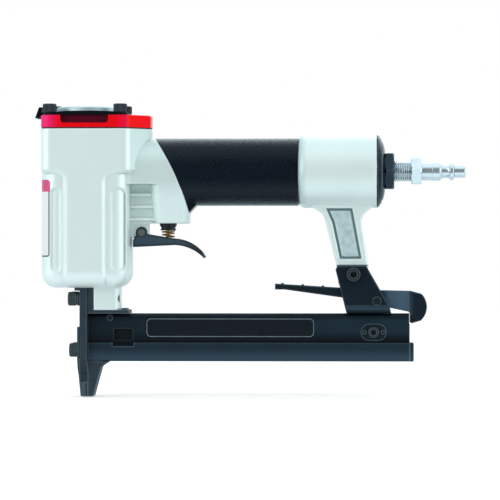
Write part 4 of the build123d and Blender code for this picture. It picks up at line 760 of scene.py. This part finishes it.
low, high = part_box("cap_bolts")
cap_bolt_length = 26.0
screws("cap_bolts", "cap_socket_bolts", "tool", black_oxide,
       m5_screw(cap_bolt_length), Matrix.Identity(4),
       ((low.x + high.x) / 2, 0, high.z - m5_height * MM),
       (high.x - low.x - 2 * m5_head * MM, high.y - low.y - 2 * m5_head * MM))

for node, name in (
        ("upper_nose_bolts", "upper_nose_socket_bolts"),
        ("lower_nose_bolts", "lower_nose_socket_bolts")):
    low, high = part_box(node)
    length = (high.x - low.x) / MM - m5_height
    screws(node, name, "tool", oxide_light_and_shade,
           m5_screw(length), facing_front,
           (low.x + m5_height * MM, 0, (low.z + high.z) / 2),
           (0, high.y - low.y - 2 * m5_head * MM))

low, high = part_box("bracket_bolt")
screws("bracket_bolt", "bracket_socket_bolt", "tool", oxide_light_and_shade,
       m5_screw((high.y - low.y) / MM - m5_height), facing_near,
       ((low.x + high.x) / 2, low.y + m5_height * MM, (low.z + high.z) / 2), (0, 0))

# The two pad screws share one axis and are turned back to back, so their spread is next to nothing
low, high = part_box("pad_screws")
pad_head = 2.2
pad_spread = 0.001
pad_seat = (high.y - low.y) / 2 - pad_head * MM
pad_screw = socket_screw(
    head_radius=3.4, head_height=pad_head, flats=3.4, socket_depth=1.4, shank_radius=2.0,
    shank_length=2.1)
pad_screw.transform(Matrix.Translation((0, 0, pad_seat)))
screws("pad_screws", "pad_socket_screws", "tool", oxide_light_and_shade, pad_screw,
       facing_near, ((low.x + high.x) / 2, 0, (low.z + high.z) / 2), (0, pad_spread * MM), math.pi)


# Air plug: one turned piece with a cut thread, a hexagon and a bore

def air_plug():
    """Quick coupling plug in the place of its node, in millimetres along its axis."""
    sides = 96
    bore = 2.6
    thread, thread_depth, pitch = 6.58, 0.75, 1.34
    flank, crest = 1.3, 0.1
    thread_steps = 110
    flats = 15.9
    corner = flats / 2 / math.cos(math.pi / 6)
    hex_start = 15.5
    hex_end = hex_start + 6.2
    thread_start, thread_end = 0.4, hex_start - 0.5
    root = thread - 0.9
    barrel, band, neck, bead, tip = 5.7, 5.9, 4.2, 5.65, 4.0

    def ridge(height):
        def radius(angle):
            share = (height / pitch - angle / (2 * math.pi)) % 1.0
            groove = abs(2 * share - 1) * flank - crest
            return thread - thread_depth * min(1.0, max(0.0, groove))
        return radius

    def nut(inset):
        flat = hexagon(flats)
        return lambda angle: min(flat(angle), corner - inset)

    rows = [(0, bore), (0, thread - 1.0)]
    for i in range(thread_steps + 1):
        height = thread_start + (thread_end - thread_start) * i / thread_steps
        rows.append((height, ridge(height)))
    rows += [(hex_start - 0.4, root), (hex_start, root)]
    chamfer = ((0, 1.35), (0.5, 0.35), (0.9, 0))
    rows += [(hex_start + step, nut(inset)) for step, inset in chamfer]
    rows += [(hex_end - step, nut(inset)) for step, inset in reversed(chamfer)]
    behind_hex = (
        (0, 6.1), (0.3, barrel), (6.6, barrel), (6.9, band), (11.2, band), (11.7, 5.5),
        (13.0, neck), (16.3, neck), (16.9, 4.5), (17.4, 5.3), (17.9, bead), (19.4, bead),
        (19.8, 5.3), (20.1, tip), (26.5, tip), (27.1, 3.5), (27.1, bore))
    rows += [(hex_end + step, radius) for step, radius in behind_hex]
    low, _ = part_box("air_plug")
    mesh = smooth(turned("air_plug", rows, sides, ring=True), angle=30)
    centre = middle("air_plug")
    mesh.transform(Matrix.Translation((low.x, 0, centre.z)) @ along_x)
    mesh.materials.append(bright_zinc)
    shown("coupling_plug", mesh, "tool", ["air_plug"])


air_plug()


# Printed films, laid on the painted metal

def rounded_sheet(width, height, radius):
    """Corner points of a flat rounded sheet round the origin, in millimetres."""
    steps = 6
    points = []
    for quarter, (sx, sy) in enumerate(((1, 1), (-1, 1), (-1, -1), (1, -1))):
        for i in range(steps + 1):
            angle = math.pi / 2 * (quarter + i / steps)
            points.append((
                sx * (width / 2 - radius) + radius * math.cos(angle),
                sy * (height / 2 - radius) + radius * math.sin(angle)))
    return points


def film(name, width, height, radius, border, cuts, head, place, inks):
    """Thin closed film with a border line, and a head of another ink above a height.

    Border gives the line's inset and width, and cuts the spots along the width where the film
    may bend. Place turns a spot of the flat film and a lift into a point on the tool.
    """
    flat = bmesh.new()
    loops = []
    for inset in (0, border[0], border[0] + border[1]):
        spots = rounded_sheet(width - 2 * inset, height - 2 * inset, radius - inset)
        loops.append([flat.verts.new((x, y, 0)) for x, y in spots])
    flat.faces.new(loops[-1])
    for ring, (outer, inner) in enumerate(zip(loops, loops[1:])):
        for i in range(len(outer)):
            side = flat.faces.new((outer[i - 1], outer[i], inner[i], inner[i - 1]))
            side.material_index = ring
    planes = [((cut, 0, 0), (1, 0, 0)) for cut in cuts] + [((0, head, 0), (0, 1, 0))]
    for spot, direction in planes:
        bmesh.ops.bisect_plane(
            flat, geom=flat.verts[:] + flat.edges[:] + flat.faces[:],
            plane_co=spot, plane_no=direction)
    shell = bmesh.new()
    face_lift, back_lift = 0.1, 0.02
    face = {v: shell.verts.new(place(v.co.x, v.co.y, face_lift)) for v in flat.verts}
    back = {v: shell.verts.new(place(v.co.x, v.co.y, back_lift)) for v in flat.verts}
    for part in flat.faces:
        ink = 2 if part.calc_center_median().y > head else part.material_index
        shell.faces.new([face[v] for v in part.verts]).material_index = ink
        shell.faces.new([back[v] for v in reversed(part.verts)])
    for edge in flat.edges:
        if edge.is_boundary:
            a, b = edge.verts
            shell.faces.new((face[a], face[b], back[b], back[a]))
    bmesh.ops.recalc_face_normals(shell, faces=shell.faces)
    mesh = bpy.data.meshes.new(name)
    shell.to_mesh(mesh)
    shell.free()
    flat.free()
    for ink in inks:
        mesh.materials.append(ink)
    return smooth(mesh, angle=40)


# Front of the body and the sticker on it, in millimetres
body_front = -27.0
body_corner = 10.0
body_flat = 12.0
sticker_low, sticker_high, sticker_head = 85.4, 133.0, 125.7
sticker_wrap = math.radians(66)


def on_body_front(along, up, lift):
    """Point on the rounded front of the body."""
    turn = max(0.0, abs(along) - body_flat) / body_corner
    reach = body_corner + lift
    x = body_front + body_corner - reach * math.cos(turn)
    y = math.copysign(min(abs(along), body_flat) + reach * math.sin(turn), along)
    return Vector((x, y, (sticker_low + sticker_high) / 2 + up)) * MM


sticker_half = body_flat + body_corner * sticker_wrap
bend_steps = 16
bends = [body_flat + body_corner * sticker_wrap * i / bend_steps for i in range(bend_steps)]
front_film = film(
    "front_sticker", 2 * sticker_half, sticker_high - sticker_low, radius=2.2, border=(0.4, 0.9),
    cuts=bends + [-b for b in bends], head=sticker_head - (sticker_low + sticker_high) / 2,
    place=on_body_front, inks=[sticker_white, dark_edge_line, sticker_red])
shown("front_sticker", front_film, "tool")

# Near side of the fixed rail and the label on it, in millimetres
rail_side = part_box("fixed_rail")[0].y / MM
label_low, label_high = (36.6, 36.2), (140.4, 48.2)


def on_rail_side(along, up, lift):
    """Point on the near side of the fixed rail."""
    x = (label_low[0] + label_high[0]) / 2 + along
    z = (label_low[1] + label_high[1]) / 2 + up
    return Vector((x, rail_side - lift, z)) * MM


label_size = (label_high[0] - label_low[0], label_high[1] - label_low[1])
rail_film = film(
    "rail_label", *label_size, radius=3.0, border=(0.4, 0.4), cuts=[], head=label_size[1],
    place=on_rail_side, inks=[label_black, label_ink])
shown("rail_label", rail_film, "tool")


# Studio: pale floor, soft light, and the camera on the near side of the tool

floor_size = 6.0
floor_gap = 0.5 * MM
floor_mesh = bpy.data.meshes.new("studio_floor")
floor_shape = bmesh.new()
bmesh.ops.create_grid(floor_shape, x_segments=1, y_segments=1, size=floor_size / 2)
floor_shape.to_mesh(floor_mesh)
floor_shape.free()
floor = bpy.data.objects.new("studio_floor", floor_mesh)
floor.location = ((cad_low.x + cad_high.x) / 2, 0, cad_low.z - floor_gap)
scene.collection.objects.link(floor)
floor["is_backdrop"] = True

# Matt white studio paper: the camera sees it pure white away from the shadow. In gloss it glows
# as a painted reflection, bright close in front of the tool, with a painted shadow below it, and
# falls off towards the dim side of the room.
cool_gloss = "#D2E6EE"
paper = bpy.data.materials.new("studio_paper")
paper.use_nodes = True
tree = paper.node_tree
tree.nodes.clear()
ray = add(tree, "ShaderNodeLightPath").outputs
matt = add(tree, "ShaderNodeBsdfDiffuse", {"Color": rgb("#F4F5F5")})
paper_lift = 0.3
seen = worked(tree, "MAXIMUM", ray["Is Camera Ray"], ray["Is Transmission Ray"])
glow = add(tree, "ShaderNodeEmission", {
    "Color": rgb("#FFFFFF"), "Strength": worked(tree, "MULTIPLY", seen, paper_lift)})
lit = add(tree, "ShaderNodeAddShader", {0: matt.outputs[0], 1: glow.outputs[0]})
_, depth, _ = parts_of(tree, add(tree, "ShaderNodeNewGeometry").outputs["Position"])
far_light = add(tree, "ShaderNodeMapRange", {
    "Value": depth, "From Min": -0.45, "From Max": -0.15, "To Min": 0.25, "To Max": 1.3},
    interpolation_type="SMOOTHSTEP")
shadow = add(tree, "ShaderNodeMapRange", {
    "Value": depth, "From Min": -0.1, "From Max": -0.01, "To Min": 1.0, "To Max": 0.75},
    interpolation_type="SMOOTHSTEP")
mirrored = add(tree, "ShaderNodeEmission", {
    "Color": rgb(cool_gloss),
    "Strength": worked(tree, "MULTIPLY", far_light.outputs[0], shadow.outputs[0])})
both = add(tree, "ShaderNodeMixShader", {
    0: ray["Is Glossy Ray"], 1: lit.outputs[0], 2: mirrored.outputs[0]})
add(tree, "ShaderNodeOutputMaterial", {0: both.outputs[0]})
floor_mesh.materials.append(paper)

# White studio air: an even light all round. In gloss it is a little cool, and dim behind the
# camera.
world = bpy.data.worlds.new("studio_air")
scene.world = world
world.use_nodes = True
tree = world.node_tree
tree.nodes.clear()
ambient = 0.84
ray = add(tree, "ShaderNodeLightPath").outputs
_, depth, _ = parts_of(tree, add(tree, "ShaderNodeTexCoord").outputs["Generated"])
side = add(tree, "ShaderNodeMapRange", {
    "Value": depth, "From Min": -0.93, "From Max": -0.6}, interpolation_type="SMOOTHSTEP")
gloss = add(tree, "ShaderNodeMapRange", {
    "Value": side.outputs[0], "To Min": 0.2, "To Max": 1.2})
seen = worked(tree, "MAXIMUM", ray["Is Camera Ray"], ray["Is Transmission Ray"])
plain = add(tree, "ShaderNodeMix", {0: seen, 2: ambient, 3: 1.0}, data_type="FLOAT")
strength = add(tree, "ShaderNodeMix", {
    0: ray["Is Glossy Ray"], 2: plain.outputs[0], 3: gloss.outputs[0]}, data_type="FLOAT")
tint = add(tree, "ShaderNodeMix", {
    0: ray["Is Glossy Ray"], 6: rgb("#FFFFFF"), 7: rgb(cool_gloss)}, data_type="RGBA")
air = add(tree, "ShaderNodeBackground", {
    "Color": tint.outputs[2], "Strength": strength.outputs[0]})
add(tree, "ShaderNodeOutputWorld", {0: air.outputs[0]})


def softbox(name, at, size, power, gloss_only=False):
    """Square lamp that looks at the middle of the tool, in metres and watts.

    A lamp for gloss only shows in highlights and adds no other light.
    """
    lamp = bpy.data.lights.new(name, "AREA")
    lamp.size = size
    lamp.energy = power
    made = bpy.data.objects.new(name, lamp)
    aim = (cad_low + cad_high) / 2
    made.location = at
    made.rotation_euler = (aim - Vector(at)).to_track_quat("-Z", "Y").to_euler()
    made.visible_camera = False
    made.visible_diffuse = not gloss_only
    scene.collection.objects.link(made)


# Weak lamps on every side, stronger at the tool's two ends, and one for the glint on the grip's top
softbox("top_softbox", (0.1, -0.15, 1.1), size=0.9, power=0.3)
softbox("front_softbox", (-0.5, -0.9, 0.7), size=0.7, power=1.0)
softbox("rear_softbox", (0.6, 0.8, 0.6), size=0.7, power=1.0)
softbox("rim_softbox", (0.1, 0.8, 0.8), size=0.9, power=3.0, gloss_only=True)
softbox("left_softbox", (-0.9, -0.75, 0.3), size=0.8, power=3.8)
softbox("right_softbox", (1.3, -0.55, 0.3), size=0.8, power=4.5)

# Camera: level, on the near side of the tool, a little towards its rear, in metres
view_distance = 1.9
view_width = 0.3085
view_middle = (0.1004, 0.0900)
view_yaw = math.radians(2.4)
lens = bpy.data.cameras.new("studio_camera")
lens.sensor_width = 36.0
lens.lens = lens.sensor_width * view_distance / view_width
lens.clip_start = 0.05
camera = bpy.data.objects.new("studio_camera", lens)
camera.location = (
    view_middle[0] + view_distance * math.sin(view_yaw), -view_distance * math.cos(view_yaw),
    view_middle[1])
camera.rotation_euler = (math.radians(90), 0, view_yaw)
scene.collection.objects.link(camera)
scene.camera = camera
scene.view_settings.view_transform = "Standard"

low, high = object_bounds()
